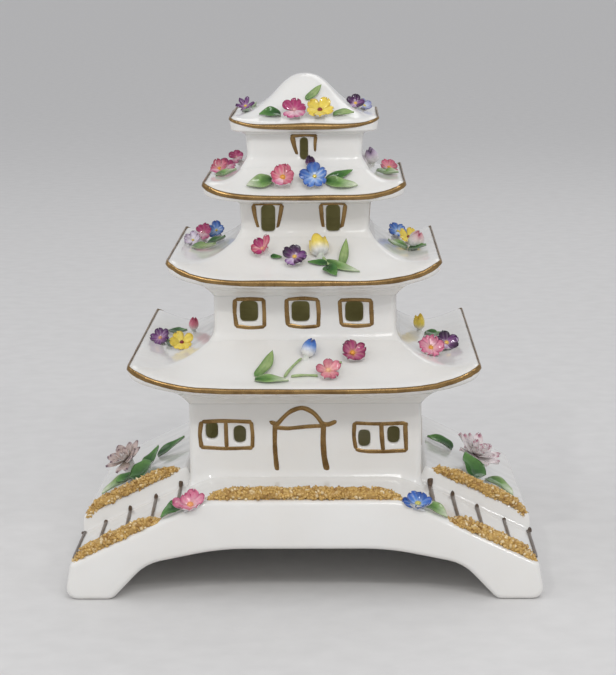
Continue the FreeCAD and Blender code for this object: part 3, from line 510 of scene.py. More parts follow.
def enamel(name, roughness, mottle):
    """Glossy enamel over china. The brushed colours are held on the mesh, and a mottle breaks them."""
    made = Finish(name, (0.8, 0.8, 0.8), roughness)
    wash = made.ramp(made.noise(mottle, 3.0, 0.6), ((0.25, (0.8, 0.8, 0.8)), (0.6, (1.0, 1.0, 1.0))), None)
    made.multiply(made.attribute("tint", "Color"), wash, 0.9)
    made.translucent(0.05, (0.002, 0.0015, 0.001))
    made.bumps((made.noise(500.0, 2.0), 0.0003, 0.4))
    return made.material


def charcoal(name):
    """Pressed incense: dry, matt, with pale grains."""
    made = Finish(name, (0.06, 0.05, 0.045), 0.85)
    grain = made.noise(1800.0, 4.0, 0.7)
    made.ramp(grain, ((0.3, (0.03, 0.026, 0.022)), (0.7, (0.12, 0.10, 0.085))))
    made.bumps((grain, 0.0003, 0.7))
    return made.material


MATERIALS = {}


def prepare_materials(house, trim, grit):
    """Makes every finish once."""
    china = (tuple(house.china), tuple(house.china_warm), house.gloss)
    MATERIALS["china"] = glazed_china("glazed_white_china", *china)
    # Inside finish: painted shade in dark olive, with a painted glow.
    MATERIALS["inside"] = inside_painted_shade_glow("painted_shade_glow_inside")
    MATERIALS["gilt"] = gilt("gilt_line", tuple(trim.gilt), tuple(trim.gilt_thin))
    MATERIALS["step"] = step_paint("brown_step_line", tuple(trim.step))
    MATERIALS["grit"] = grit_glaze("ochre_grit", tuple(grit.dark), tuple(grit.ochre), tuple(grit.pale))
    MATERIALS["petal"] = enamel("petal_enamel", 0.09, 900.0)
    MATERIALS["leaf"] = enamel("leaf_enamel", 0.08, 600.0)
    MATERIALS["charcoal"] = charcoal("pressed_incense")
    MATERIALS["dish"] = glazed_china("dish_glaze", *china)


# House castings

def roof_mesh(node):
    """Hollow roof shell: cove, rolled lip, swept top and the space inside."""
    wall_half, wall_top, half, front_lip, side_lip, _, foot_half, foot = ROOFS[node]
    outside = underside_rings(wall_half, wall_top, half, front_lip, side_lip)
    outside += lip_rings(half, front_lip, side_lip)[:-1] + upper_rings(node)
    outside = [ring_points(*ring) for ring in soften(between(outside, 5), 4)]
    low = wall_half - WALL
    corner = WALL_CORNER / 2
    middle = (wall_top + front_lip) / 2
    clay = Clay()
    if node == "domed_top_roof":
        inside = [(2.5, 1.0, TOP - 3.4, TOP - 3.4), (8.4, corner, front_lip + 3.6, front_lip + 3.6),
                  (low, corner, middle + 1, middle + 1), (low, corner, wall_top, wall_top)]
        inside = [ring_points(*ring) for ring in inside]
        around = len(outside[0])
        crown = tuple((len(outside) - 1) * around + i for i in range(around))
        clay.loft(outside, ends=[crown])
        clay.loft(inside, slot=1, ends=[tuple(range(around))[::-1]])
        clay.loft([outside[0], inside[-1]])
        return clay
    high = foot_half - WALL
    bulge = wall_half + 0.4 * (half - wall_half)
    inside = [(foot_half, WALL_CORNER, foot, foot), (high, corner, foot, foot),
              (high, corner, foot - WALL, foot - WALL), (bulge, LIP_CORNER, middle + 1.6, middle + 3.0),
              (low, corner, wall_top + 0.5, wall_top + 0.5), (low, corner, wall_top, wall_top),
              (wall_half, WALL_CORNER, wall_top, wall_top)]
    clay.loft(outside)
    clay.loft([ring_points(*ring) for ring in inside], slot=1)
    return clay


def rounded_block(width, height, depth, radius, steps=5):
    """Upright rounded rectangle pushed along -Y from y = 0, for cutting a window."""
    outline = []
    for cx, cz, start in ((1, 1, 0), (-1, 1, 90), (-1, -1, 180), (1, -1, 270)):
        for i in range(steps + 1):
            angle = math.radians(start + 90 * i / steps)
            outline.append((cx * (width / 2 - radius) + radius * math.cos(angle),
                            cz * (height / 2 - radius) + radius * math.sin(angle)))
    points = [(x, 0, z) for x, z in outline] + [(x, -depth, z) for x, z in outline]
    return points, loop_faces(2, len(outline), closed_ends=True)


def cutters(node):
    """Shells that pierce one storey's windows on three sides."""
    width, height, places = WINDOWS[node]
    clay = Clay()
    reach = STOREYS[node][0] + 4
    for x, z in places:
        for angle in (-90, 0, 90):
            points, faces = rounded_block(width + WINDOW_MARGIN, height + WINDOW_MARGIN, reach, WINDOW_ROUND)
            turn = Matrix.Rotation(math.radians(angle), 4, "Z")
            clay.add([turn @ (Vector(p) + Vector((x, 0, z))) for p in points], faces)
    return clay


def stoke_cutter():
    """Shell that cuts the round-headed stoking arch in the back wall."""
    radius = STOKE_WIDTH / 2
    spring = DECK + STOKE_HEIGHT - radius
    outline = [(-radius, DECK - 2), (radius, DECK - 2)]
    for i in range(25):
        angle = math.pi * i / 24
        outline.append((radius * math.cos(angle), spring + radius * math.sin(angle)))
    points = [(x, 20, z) for x, z in outline] + [(x, 40, z) for x, z in outline]
    clay = Clay()
    clay.add(points, loop_faces(2, len(outline), closed_ends=True))
    return clay


def foot_at(node, x):
    """Height of the ground under a storey's walls at a distance x from the middle."""
    return deck_at(x) if node == "storey_1_walls" else STOREYS[node][1]


# Slip round a wall's foot: height above the ground and spread in mm
FILLET = ((-2.9, 2.8), (-1.65, 2.05), (-0.9, 1.5), (-0.25, 1.0), (0.4, 0.55), (1.1, 0.24), (2.0, 0.07),
          (3.0, 0.0))


def ground_ring(node, half, corner, height):
    """Ring round a storey's walls at a height above the ground they stand on."""
    return [Vector((q.x, q.y, foot_at(node, q.x) + height)) for q in ring_points(half, corner, 0, 0)]


def wall_rings(node, spread_share):
    """Rings up the outside of a storey, spread where slip fills the joint, and down the inside."""
    foot_half, foot, top_half, top = STOREYS[node]
    corner = WALL_CORNER + 0.2
    rings = []
    for height, out in FILLET:
        half = foot_half + (top_half - foot_half) * max(height, 0) / (top - foot) + out * spread_share
        rings.append(ground_ring(node, half, corner, height))
    high = top + 1.2
    rings.append(ring_points(top_half, corner, high, high))
    rings.append(ring_points(top_half - WALL, WALL_CORNER / 2, high, high))
    rings.append(ground_ring(node, foot_half - WALL, WALL_CORNER / 2, -0.3))
    return rings


def walls_piece(node, voxel, spread_share):
    """Storey walls, pierced, then softened as a fired glaze softens every edge. The voxel is in mm."""
    clay = Clay()
    clay.loft(wall_rings(node, spread_share), wrap=True)
    piece = make_piece(node + "_china", clay, [MATERIALS["china"], MATERIALS["inside"]])
    holes = cutters(node)
    if node == "storey_1_walls":
        holes.join(stoke_cutter())
    cutter = make_piece("cutter", holes, [])
    cut = piece.modifiers.new("cut", "BOOLEAN")
    cut.operation = "DIFFERENCE"
    cut.solver = "EXACT"
    cut.object = cutter
    remesh = piece.modifiers.new("remesh", "REMESH")
    remesh.mode = "VOXEL"
    remesh.voxel_size = voxel * MM
    soften = piece.modifiers.new("soften", "SMOOTH")
    soften.factor = 0.5
    soften.iterations = 5
    freeze(piece)
    bpy.data.objects.remove(cutter)
    paint_inside(piece, node)
    piece.data.shade_smooth()
    return piece


def paint_inside(piece, node):
    """Gives the faces that look into the storey the finish with painted shade and a painted glow."""
    foot_half, _, top_half, _ = STOREYS[node]
    limit = (min(foot_half, top_half) - WALL + 0.35) * MM
    piece.data.materials.clear()
    for key in ("china", "inside"):
        piece.data.materials.append(MATERIALS[key])
    for face in piece.data.polygons:
        inside = max(abs(face.center.x), abs(face.center.y)) < limit
        face.material_index = 1 if inside else 0


def bridge_outline():
    """Points round the front view of the bridge as (x, z), starting at the right foot's inner edge."""
    foot = BRIDGE_WIDTH / 2
    end = foot - DECK_END_INSET
    inner = foot - FOOT_WIDTH
    # Corners of the right half as x, z and the radius of the rounding
    right = [(inner, 0, 3.4), (foot, 0, 3.0), (end, DECK_END_HEIGHT, 1.6), (DECK_FLAT / 2, DECK, 16.0)]
    arch = [(23.0, ARCH_RISE, 70.0), (inner - 9.4, 10.0, 13.0)]
    corners = right + [(-x, z, radius) for x, z, radius in right[::-1] + arch[::-1]] + arch
    outline = []
    count = len(corners)
    for i in range(count):
        x, z, radius = corners[i]
        here = Vector((x, z))
        before = (Vector(corners[i - 1][:2]) - here).normalized()
        after = (Vector(corners[(i + 1) % count][:2]) - here).normalized()
        half_angle = before.angle(after) / 2
        reach = radius / math.tan(half_angle)
        centre = here + (before + after).normalized() * (radius / math.sin(half_angle))
        start = here + before * reach - centre
        finish = here + after * reach - centre
        total = start.angle_signed(finish)
        steps = max(4, int(radius * abs(total) / 1.6))
        for k in range(steps + 1):
            turned = start.copy()
            turned.rotate(Matrix.Rotation(-total * k / steps, 2))
            outline.append(centre + turned)
    return spread(outline, 1.5)


def spread(outline, gap):
    """Adds points to long runs of a closed outline, so that none is longer than gap."""
    made = []
    for a, b in zip(outline, outline[1:] + outline[:1]):
        steps = max(1, math.ceil((b - a).length / gap))
        made += [a.lerp(b, k / steps) for k in range(steps)]
    return made


def inward(outline):
    """Inward directions at the points of a closed outline."""
    made = []
    for i in range(len(outline)):
        along = (outline[(i + 1) % len(outline)] - outline[i - 1]).normalized()
        made.append(Vector((-along.y, along.x)))
    return made


# Steps in depth of the bridge's rings, finer close to the front of the banks
NEAR_BANK = 1.6
FINE_STEP = 0.22
COARSE_STEP = 1.8


def smooth_step(value):
    """Eased share between 0 and 1."""
    value = min(1.0, max(0.0, value))
    return value * value * (3 - 2 * value)


def bridge_piece(house):
    """The bridge with its rounded edges, and the garden banks raised out of its slopes."""
    outline = bridge_outline()
    inwards = inward(outline)
    half_depth = BRIDGE_DEPTH / 2
    radius = house.edge_round
    turns = [math.pi / 2 * k / 5 for k in range(6)]
    stations = [(-half_depth + radius * (1 - math.cos(a)), radius * (1 - math.sin(a))) for a in turns]
    y = -half_depth + radius
    while y < half_depth - radius - 1.0:
        near_bank = abs(y + BANK_FRONT) < NEAR_BANK
        y += FINE_STEP if near_bank else COARSE_STEP
        stations.append((y, 0.0))
    stations += [(-y, inset) for y, inset in stations[:6]][::-1]
    rings = []
    for y, inset in stations:
        ring = []
        for p, n in zip(outline, inwards):
            x = p.x + n.x * inset
            z = p.y + n.y * inset
            ring.append((x, y, z + bank_lift(x, y, z)))
        rings.append(ring)
    clay = Clay()
    clay.add([p for ring in rings for p in ring], loop_faces(len(rings), len(outline), closed_ends=True))
    return make_piece("bridge_china", clay, [MATERIALS["china"]])


def bank_lift(x, y, z):
    """Rise of the garden bank over the bridge's upper side, with soft edges."""
    if z < deck_at(x) - 1.3 or z < 4.0:
        return 0.0
    upper = smooth_step((z - deck_at(x) + 1.3) / 1.2)
    in_front = smooth_step((y + BANK_FRONT + 0.5) / 1.0)
    beside = smooth_step((abs(x) - BANK_INNER + 0.4) / 0.9)
    return upper * in_front * beside * bank_height(y)


# Painted lines

def ribbon(clay, path, normals, widths, thickness=0.12, closed=False):
    """A low rounded brush line of paint or gilt along a path on the china."""
    count = len(path)
    points = []
    for i in range(count):
        ahead = path[(i + 1) % count] if closed or i < count - 1 else path[i]
        behind = path[i - 1] if closed or i > 0 else path[i]
        along = (ahead - behind).normalized()
        side = along.cross(normals[i]).normalized()
        lift = side.cross(along).normalized()
        if lift.dot(normals[i]) < 0:
            lift = -lift
        w = widths[i] / 2
        for across, up in ((-1.0, -0.6), (-0.8, 0.7), (0.0, 1.0), (0.8, 0.7), (1.0, -0.6), (0.0, -2.0)):
            points.append(path[i] + side * (across * w) + lift * (up * thickness))
    faces = loop_faces(count, 6, closed_ends=not closed, wrap=closed)
    clay.add(points, faces)


def brush(points, width, end_width, step=0.5, wobble=0.05, seed=0, blunt=0.75):
    """A hand-drawn stroke: smooth path through the points, a slightly uneven width and rounded ends."""
    fine = []
    for i in range(len(points) - 1):
        steps = max(2, int((points[i + 1] - points[i]).length / step))
        fine += curve_steps(points, i, steps)
    fine.append(points[-1].copy())
    widths = []
    last = len(fine) - 1
    for i, p in enumerate(fine):
        drift = Vector((seed * 3.7 + 0.31 * i * step, 1.3 * seed, 0.2))
        here = width + (end_width - width) * i / last
        away = min(i, last - i) * step / (blunt * here)
        end = math.sqrt(max(0.05, 1 - (1 - min(1.0, away)) ** 2))
        widths.append(here * end * (1 + 0.22 * noise(drift)))
        if wobble:
            p.x += wobble * noise(drift + Vector((7, 0, 0)))
            p.z += wobble * noise(drift + Vector((0, 9, 0)))
    return fine, widths


def wall_front(node, z):
    """Distance of a storey's front wall from the middle at a height."""
    foot_half, foot, top_half, top = STOREYS[node]
    return foot_half + (top_half - foot_half) * (z - foot) / (top - foot)


# Strokes on the walls: width at the start and the end, then (across, height) points
STROKES = {
    "storey_1_walls": (
        (1.3, 1.4, ((-29.4, 44.0), (-29.85, 40.0), (-29.4, 36.2))),
        (1.2, 1.2, ((-29.7, 36.5), (-22.4, 36.1), (-14.9, 36.3))),
        (1.3, 1.3, ((-15.0, 36.2), (-14.9, 40.2), (-15.3, 43.9))),
        (1.2, 1.2, ((-29.3, 43.9), (-22.3, 44.1), (-15.1, 43.8))),
        (1.2, 1.2, ((-22.5, 44.0), (-22.4, 40.0), (-22.3, 36.2))),
        (1.2, 1.3, ((14.0, 43.6), (13.8, 39.5), (14.4, 35.8))),
        (1.2, 1.2, ((14.2, 36.0), (16.0, 35.3), (21.9, 35.1), (28.8, 35.4))),
        (1.3, 1.3, ((28.6, 35.2), (28.4, 40.0), (28.3, 43.3))),
        (1.2, 1.2, ((13.9, 43.4), (21.6, 43.1), (27.8, 43.3), (29.0, 42.6))),
        (1.3, 1.3, ((21.5, 43.2), (21.7, 39.5), (22.1, 35.3))),
    ),
    "storey_2_walls": (
        (1.3, 1.3, ((-19.8, 77.9), (-19.9, 73.8), (-19.4, 69.8))),
        (1.2, 1.2, ((-19.7, 70.1), (-15.4, 69.6), (-11.4, 69.9))),
        (1.3, 1.3, ((-11.5, 69.8), (-11.5, 73.8), (-11.7, 77.9))),
        (1.1, 1.1, ((-19.7, 77.8), (-15.6, 77.9), (-11.5, 77.7))),
        (1.3, 1.3, ((-5.2, 77.9), (-5.1, 73.8), (-4.8, 70.1))),
        (1.2, 1.2, ((-5.0, 70.4), (-0.6, 69.7), (3.8, 70.0))),
        (1.3, 1.3, ((3.8, 69.7), (3.9, 74.0), (3.6, 77.8))),
        (1.1, 1.1, ((-5.1, 77.7), (-0.8, 78.0), (3.9, 77.6))),
        (1.3, 1.3, ((9.9, 77.5), (10.1, 73.6), (10.4, 70.2))),
        (1.2, 1.2, ((10.2, 70.4), (14.6, 70.0), (19.0, 70.3))),
        (1.3, 1.3, ((19.0, 70.1), (18.9, 73.8), (18.8, 77.5))),
        (1.1, 1.1, ((9.9, 77.4), (14.4, 77.6), (19.1, 77.3))),
    ),
    "storey_3_walls": (
        (1.3, 1.0, ((-14.6, 103.9), (-14.0, 100.0), (-13.1, 96.6))),
        (1.3, 1.0, ((-6.4, 103.9), (-7.1, 100.0), (-7.9, 96.6))),
        (0.6, 0.6, ((-14.8, 103.9), (-10.5, 104.0), (-6.3, 103.9))),
        (1.3, 1.0, ((4.6, 103.9), (4.9, 100.0), (5.4, 96.6))),
        (1.3, 1.0, ((11.6, 103.9), (11.1, 100.0), (10.5, 96.6))),
        (0.6, 0.6, ((4.5, 103.9), (8.2, 104.0), (11.7, 103.9))),
    ),
    "storey_4_walls": (
        (0.9, 0.9, ((-3.9, 123.2), (0.0, 123.4), (3.7, 123.2))),
        (1.6, 0.9, ((-3.4, 123.2), (-2.8, 120.4), (-1.9, 117.4))),
        (1.2, 0.8, ((3.3, 123.2), (3.1, 121.0), (3.1, 118.7))),
    ),
}

# Strokes of the painted doorway, in the same form
DOOR = (
    (1.4, 1.4, ((-10.1, 44.0), (-8.9, 43.4), (-7.8, 43.3), (-6.1, 45.1), (-3.9, 46.9), (-0.8, 47.8),
                (1.9, 46.7), (3.6, 45.0), (4.9, 43.3), (6.6, 43.0), (8.9, 44.0))),
    (1.3, 1.3, ((-8.5, 42.2), (-5.0, 41.9), (-1.7, 42.2), (2.0, 42.5), (5.4, 42.6))),
    (1.6, 1.3, ((-8.5, 43.2), (-8.6, 40.0), (-8.6, 36.0), (-8.2, 31.0), (-7.8, 28.9))),
    (1.5, 1.9, ((5.2, 43.2), (5.1, 40.0), (5.1, 37.0), (5.4, 33.3), (6.2, 29.3))),
)


def wall_lines(node, clay, strokes, angles):
    """Brush strokes on the walls of a storey, at the front and turned to the sides named."""
    for angle in angles:
        turn = Matrix.Rotation(math.radians(angle), 3, "Z")
        for k, (width, end_width, places) in enumerate(strokes):
            points = [Vector((x, 0, z)) for x, z in places]
            fine, widths = brush(points, width, end_width, seed=k + angle / 10)
            path = []
            for p in fine:
                p.y = -wall_front(node, p.z) - 0.02
                path.append(turn @ p)
            normal = turn @ Vector((0, -1, 0))
            ribbon(clay, path, [normal] * len(path), widths)


def lip_line(clay, node, width):
    """Gilt line round a roof's lip, just below its upper edge. The top roof's is broadest at mid front."""
    half, front_lip, side_lip = ROOFS[node][2:5]
    path = ring_points(half + 0.03, LIP_CORNER, front_lip - 1.0, side_lip - 0.55, 40, 8)
    normals = []
    widths = []
    for p in path:
        away = Vector((p.x if abs(p.x) > abs(p.y) - LIP_CORNER else 0,
                       p.y if abs(p.y) > abs(p.x) - LIP_CORNER else 0, 0))
        normals.append((away.normalized() + UP * 0.25).normalized())
        drift = Vector((p.x * 0.07, p.y * 0.07, p.z))
        broad = 1.0
        if node == "domed_top_roof":
            broad = 0.6 + 0.8 * max(0.0, 1 - min(abs(p.x), abs(p.y)) / (0.8 * half)) ** 0.7
        widths.append(width * broad * (1 + 0.25 * noise(drift)))
        p.z += 0.12 * noise(drift * 1.7)
    ribbon(clay, path, normals, widths, 0.14, closed=True)


# Step lines on the side paths: place across at the bank and at the front, start up the bank, width
STEP_LINES = (
    (-35.9, -35.2, 2.6, 0.9), (-43.1, -42.2, 1.3, 0.9), (-50.6, -49.4, 1.7, 0.9), (-57.7, -57.1, 0.6, 0.9),
    (-64.4, -64.0, 0.05, 0.8), (35.6, 35.9, 4.0, 1.2), (42.0, 42.6, 1.4, 1.0), (49.0, 49.5, 0.9, 1.0),
    (56.8, 57.0, 0.6, 0.9), (64.2, 64.4, 1.2, 0.9),
)
# A step line's points: share of its way to the front crust, and height over the path
STEP_POINTS = ((0.02, 0.34), (0.06, 0.26), (0.35, 0.26), (0.7, 0.26), (1.0, 0.2))


def step_strokes(clay, share):
    """Brown brush lines across the side paths that mark the steps, from the bank to the front crust."""
    limit = BRIDGE_WIDTH / 2 - DECK_END_INSET - 0.4
    for k, (back_x, front_x, rise, width) in enumerate(STEP_LINES):
        deck = deck_at(back_x)
        points = [Vector((back_x, 0.4 * rise * up - 28.6, deck + 0.1 + rise * up)) for up in (1.0, 0.6)]
        points.append(Vector((back_x, -29.0, deck + 0.25 + 0.15 * rise)))
        for along, over in STEP_POINTS:
            x = back_x + along * (front_x - back_x)
            x = max(-limit, min(limit, x))
            points.append(Vector((x, -28.9 - 26.5 * along, deck_at(x) + over)))
        fine, widths = brush(points, width * share, 0.8 * width * share, wobble=0, seed=k, blunt=1.6)
        normals = []
        for p in fine:
            flat = ground_normal("bridge", math.copysign(min(abs(p.x), limit - 1), p.x), -40.0)
            upright = smooth_step((p.y + 29.4) / 0.9)
            normals.append((flat * (1 - upright) + Vector((0, -1, 0.3)) * upright).normalized())
        ribbon(clay, fine, normals, widths, 0.13)


# Grit

# Points round a ridge, and points along it over which each end thins out
RIDGE_SIDES = 14
RIDGE_END = 9


def grit_core(name, path, width, height, seed):
    """Uneven low ridge that the crumbs sit in, along a path on the china. It thins out at both ends."""
    rng = random.Random(seed)
    phase = rng.uniform(0, 50)
    points = []
    count = len(path)
    for i, p in enumerate(path):
        ahead = path[min(i + 1, count - 1)]
        behind = path[max(i - 1, 0)]
        along = (ahead - behind).normalized()
        side = UP.cross(along).normalized()
        lift = along.cross(side).normalized()
        end = math.sqrt(max(0.05, 1 - (1 - min(1.0, min(i, count - 1 - i) / RIDGE_END)) ** 2))
        swell = 1 + 0.30 * noise(Vector((p.x * 0.33 + phase, 2.0, 1.0)))
        for k in range(RIDGE_SIDES):
            angle = 2 * math.pi * k / RIDGE_SIDES
            across = math.cos(angle) * width / 2 * (0.5 + 0.5 * end)
            up = math.sin(angle) * height / 2 * end * swell + height / 2 * (1.3 * end - 0.55)
            rough = 1 + 0.35 * noise(Vector((p.x * 0.6 + phase, across, up)))
            points.append(p + side * (across * rough) + lift * (up * (1 + 0.3 * (rough - 1))))
    clay = Clay()
    clay.add(points, loop_faces(count, RIDGE_SIDES, closed_ends=True))
    return make_piece(name, clay, [MATERIALS["grit"]])


def new_tree(name, entry, result, inputs):
    """Geometry nodes from one shape to another, and the identifier of each of its inputs by name."""
    tree = bpy.data.node_groups.new(name, "GeometryNodeTree")
    tree.interface.new_socket(name=entry, in_out="INPUT", socket_type="NodeSocketGeometry")
    ids = {}
    for label, kind, value in inputs:
        socket = tree.interface.new_socket(name=label, in_out="INPUT", socket_type="NodeSocket" + kind)
        socket.default_value = value
        ids[label] = socket.identifier
    tree.interface.new_socket(name=result, in_out="OUTPUT", socket_type="NodeSocketGeometry")
    return tree, ids


def add_node(tree, kind, values=(), **settings):
    """A node with its settings, and with values for its inputs as (input, value)."""
    node = tree.nodes.new(kind)
    for name, setting in settings.items():
        setattr(node, name, setting)
    for entry, value in values:
        node.inputs[entry].default_value = value
    return node


def wire(tree, links):
    """Links nodes. Each link is a node, its output, the next node and its input."""
    for source, output, target, entry in links:
        tree.links.new(source.outputs[output], target.inputs[entry])


def crumb_tree(grit):
    """Geometry nodes that strew crumbs over a ridge."""
    tree, ids = new_tree("grit_crumbs", "Ridge", "Crust", (
        ("Crumb size", "Float", grit.crumb * MM), ("Crumbs per square metre", "Float", grit.density * 1e6),
        ("Seed", "Int", 1)))
    enter = add_node(tree, "NodeGroupInput")
    leave = add_node(tree, "NodeGroupOutput")
    strew = add_node(tree, "GeometryNodeDistributePointsOnFaces")
    crumb = add_node(tree, "GeometryNodeMeshIcoSphere", [("Subdivisions", 1)])
    turns = [("Max", (6.28, 6.28, 6.28))]
    stretches = [("Min", (0.45, 0.45, 0.7)), ("Max", (0.95, 0.85, 1.7))]
    turn, stretch = [add_node(tree, "FunctionNodeRandomValue", values, data_type="FLOAT_VECTOR")
                     for values in (turns, stretches)]
    place = add_node(tree, "GeometryNodeInstanceOnPoints")
    shade = add_node(tree, "FunctionNodeRandomValue", data_type="FLOAT")
    named = "GeometryNodeStoreNamedAttribute"
    store = add_node(tree, named, [("Name", "shade")], data_type="FLOAT", domain="INSTANCE")
    base = add_node(tree, named, [("Name", "shade"), ("Value", 0.15)], data_type="FLOAT", domain="POINT")
    smooth = add_node(tree, "GeometryNodeSetShadeSmooth")
    join = add_node(tree, "GeometryNodeJoinGeometry")
    real = add_node(tree, "GeometryNodeRealizeInstances")
    finish = add_node(tree, "GeometryNodeSetMaterial", [("Material", MATERIALS["grit"])])
    wire(tree, (
        (enter, "Ridge", strew, "Mesh"),
        (enter, "Crumbs per square metre", strew, "Density"),
        (enter, "Seed", strew, "Seed"),
        (enter, "Crumb size", crumb, "Radius"),
        (strew, "Points", place, "Points"),
        (crumb, "Mesh", place, "Instance"),
        (enter, "Seed", turn, "Seed"),
        (turn, "Value", place, "Rotation"),
        (enter, "Seed", stretch, "Seed"),
        (stretch, "Value", place, "Scale"),
        (enter, "Seed", shade, "Seed"),
        (place, "Instances", store, "Geometry"),
        (shade, "Value", store, "Value"),
        (store, "Geometry", real, "Geometry"),
        (real, "Geometry", smooth, "Geometry"),
        (enter, "Ridge", base, "Geometry"),
        (base, "Geometry", join, "Geometry"),
        (smooth, "Geometry", join, "Geometry"),
        (join, "Geometry", finish, "Geometry"),
        (finish, "Geometry", leave, "Crust"),
    ))
    return tree, ids


def crust_piece(name, path, width, height, tree, ids, seed):
    """One finished strip of grit."""
    piece = grit_core(name + "_crust", path, width, height, seed)
    strewer = piece.modifiers.new("crumbs", "NODES")
    strewer.node_group = tree
    strewer[ids["Seed"]] = seed
    freeze(piece)
    return settle(piece, [name])


GRIT_FRONT = -BRIDGE_DEPTH / 2 + 3.0
GRIT_BED = -BANK_FRONT + 1.6
STRIP_STEP = 0.8
DROOP_SHARE = 0.14

# Grit strips: node, start and stop across, depth, rise over the deck, droop at the outer end, width,
# height, seed
GRIT_STRIPS = (
    ("grit_front_centre", -26.0, 26.4, GRIT_FRONT, 0.0, 0.0, 4.2, 2.9, 1),
    ("grit_front_left", -39.4, -63.4, GRIT_FRONT, -0.2, 0.0, 4.9, 3.0, 3),
    ("grit_bed_left", -36.6, -63.6, GRIT_BED, BANK_FRONT_RISE, 1.8, 3.8, 2.8, 7),
    ("grit_front_right", 39.4, 63.4, GRIT_FRONT, -0.2, 0.0, 4.9, 3.0, 5),
    ("grit_bed_right", 36.6, 63.6, GRIT_BED, BANK_FRONT_RISE, 1.8, 3.8, 2.8, 9),
)


def strip_path(start, stop, y, rise, droop):
    """Points along a grit strip from x = start to x = stop, on the deck raised by rise."""
    count = max(8, int(abs(stop - start) / STRIP_STEP))
    path = []
    for i in range(count + 1):
        share = i / count
        x = start + share * (stop - start)
        drop = droop * max(0.0, share - 1 + DROOP_SHARE) / DROOP_SHARE
        path.append(Vector((x, y, deck_at(x) + rise - drop)))
    return path


# Flowers and leaves

WHITE = (0.82, 0.81, 0.79)


def mix(a, b, share):
    """Colour between two colours."""
    share = min(1.0, max(0.0, share))
    return tuple(p + (q - p) * share for p, q in zip(a, b))


def shaded(colour, factor):
    """Colour with its channels times a factor, and 1 at most."""
    return tuple(min(1.0, c * factor) for c in colour)


# Petal colours: heart at the flower's middle, inner, outer, edge, and how strongly streaks show
PAINTS = {
    "crimson": ((0.70, 0.30, 0.36), (0.52, 0.06, 0.20), (0.42, 0.03, 0.14), (0.28, 0.01, 0.09), 0.2),
    "pale_pink": ((0.72, 0.42, 0.46), (0.78, 0.52, 0.58), (0.62, 0.16, 0.30), (0.44, 0.05, 0.18), 0.8),
    "rose": ((0.80, 0.55, 0.34), (0.70, 0.24, 0.30), (0.60, 0.11, 0.19), (0.36, 0.02, 0.08), 0.5),
    "salmon": ((0.80, 0.44, 0.30), (0.74, 0.30, 0.32), (0.66, 0.19, 0.25), (0.32, 0.02, 0.08), 0.4),
    "pansy_red": ((0.80, 0.42, 0.08), (0.52, 0.12, 0.25), (0.38, 0.04, 0.14), (0.09, 0.003, 0.03), 0.4),
    "blue": ((0.58, 0.68, 0.82), (0.09, 0.24, 0.62), (0.03, 0.12, 0.46), (0.012, 0.04, 0.22), 0.5),
    "pale_blue": ((0.56, 0.66, 0.80), (0.26, 0.42, 0.74), (0.06, 0.18, 0.54), (0.015, 0.05, 0.26), 0.7),
    "yellow": ((0.74, 0.56, 0.10), (0.84, 0.66, 0.10), (0.84, 0.64, 0.09), (0.66, 0.44, 0.04), 0.15),
    "purple": ((0.60, 0.42, 0.56), (0.25, 0.08, 0.27), (0.12, 0.025, 0.15), (0.035, 0.004, 0.05), 0.4),
    "dark_purple": ((0.66, 0.50, 0.62), (0.11, 0.018, 0.12), (0.035, 0.005, 0.042), (0.014, 0.002, 0.018),
                    0.25),
    "lilac": ((0.74, 0.66, 0.76), (0.60, 0.46, 0.66), (0.36, 0.18, 0.42), (0.06, 0.01, 0.08), 0.7),
    "white_lilac": ((0.74, 0.70, 0.74), (0.76, 0.70, 0.76), (0.68, 0.58, 0.70), (0.10, 0.02, 0.15), 0.2),
    "white_pink": ((0.80, 0.78, 0.76), (0.80, 0.77, 0.75), (0.78, 0.58, 0.57), (0.46, 0.03, 0.10), 0.2),
    "purple_tip": ((0.80, 0.78, 0.76), (0.78, 0.74, 0.76), (0.60, 0.46, 0.62), (0.05, 0.005, 0.10), 0.2),
    "pink": ((0.80, 0.50, 0.36), (0.78, 0.36, 0.46), (0.70, 0.20, 0.32), (0.46, 0.05, 0.16), 0.4),
    "grey_blue": ((0.62, 0.66, 0.74), (0.46, 0.50, 0.66), (0.30, 0.32, 0.54), (0.08, 0.08, 0.20), 0.4),
    "white_purple": ((0.42, 0.30, 0.24), (0.68, 0.57, 0.50), (0.66, 0.52, 0.48), (0.08, 0.01, 0.06), 0.3),
    "white_crimson": ((0.66, 0.44, 0.46), (0.82, 0.78, 0.76), (0.82, 0.74, 0.74), (0.40, 0.015, 0.12), 0.2),
}
PETAL_ROWS = 11
PETAL_COLUMNS = 8
PETAL_SHARE = 0.86


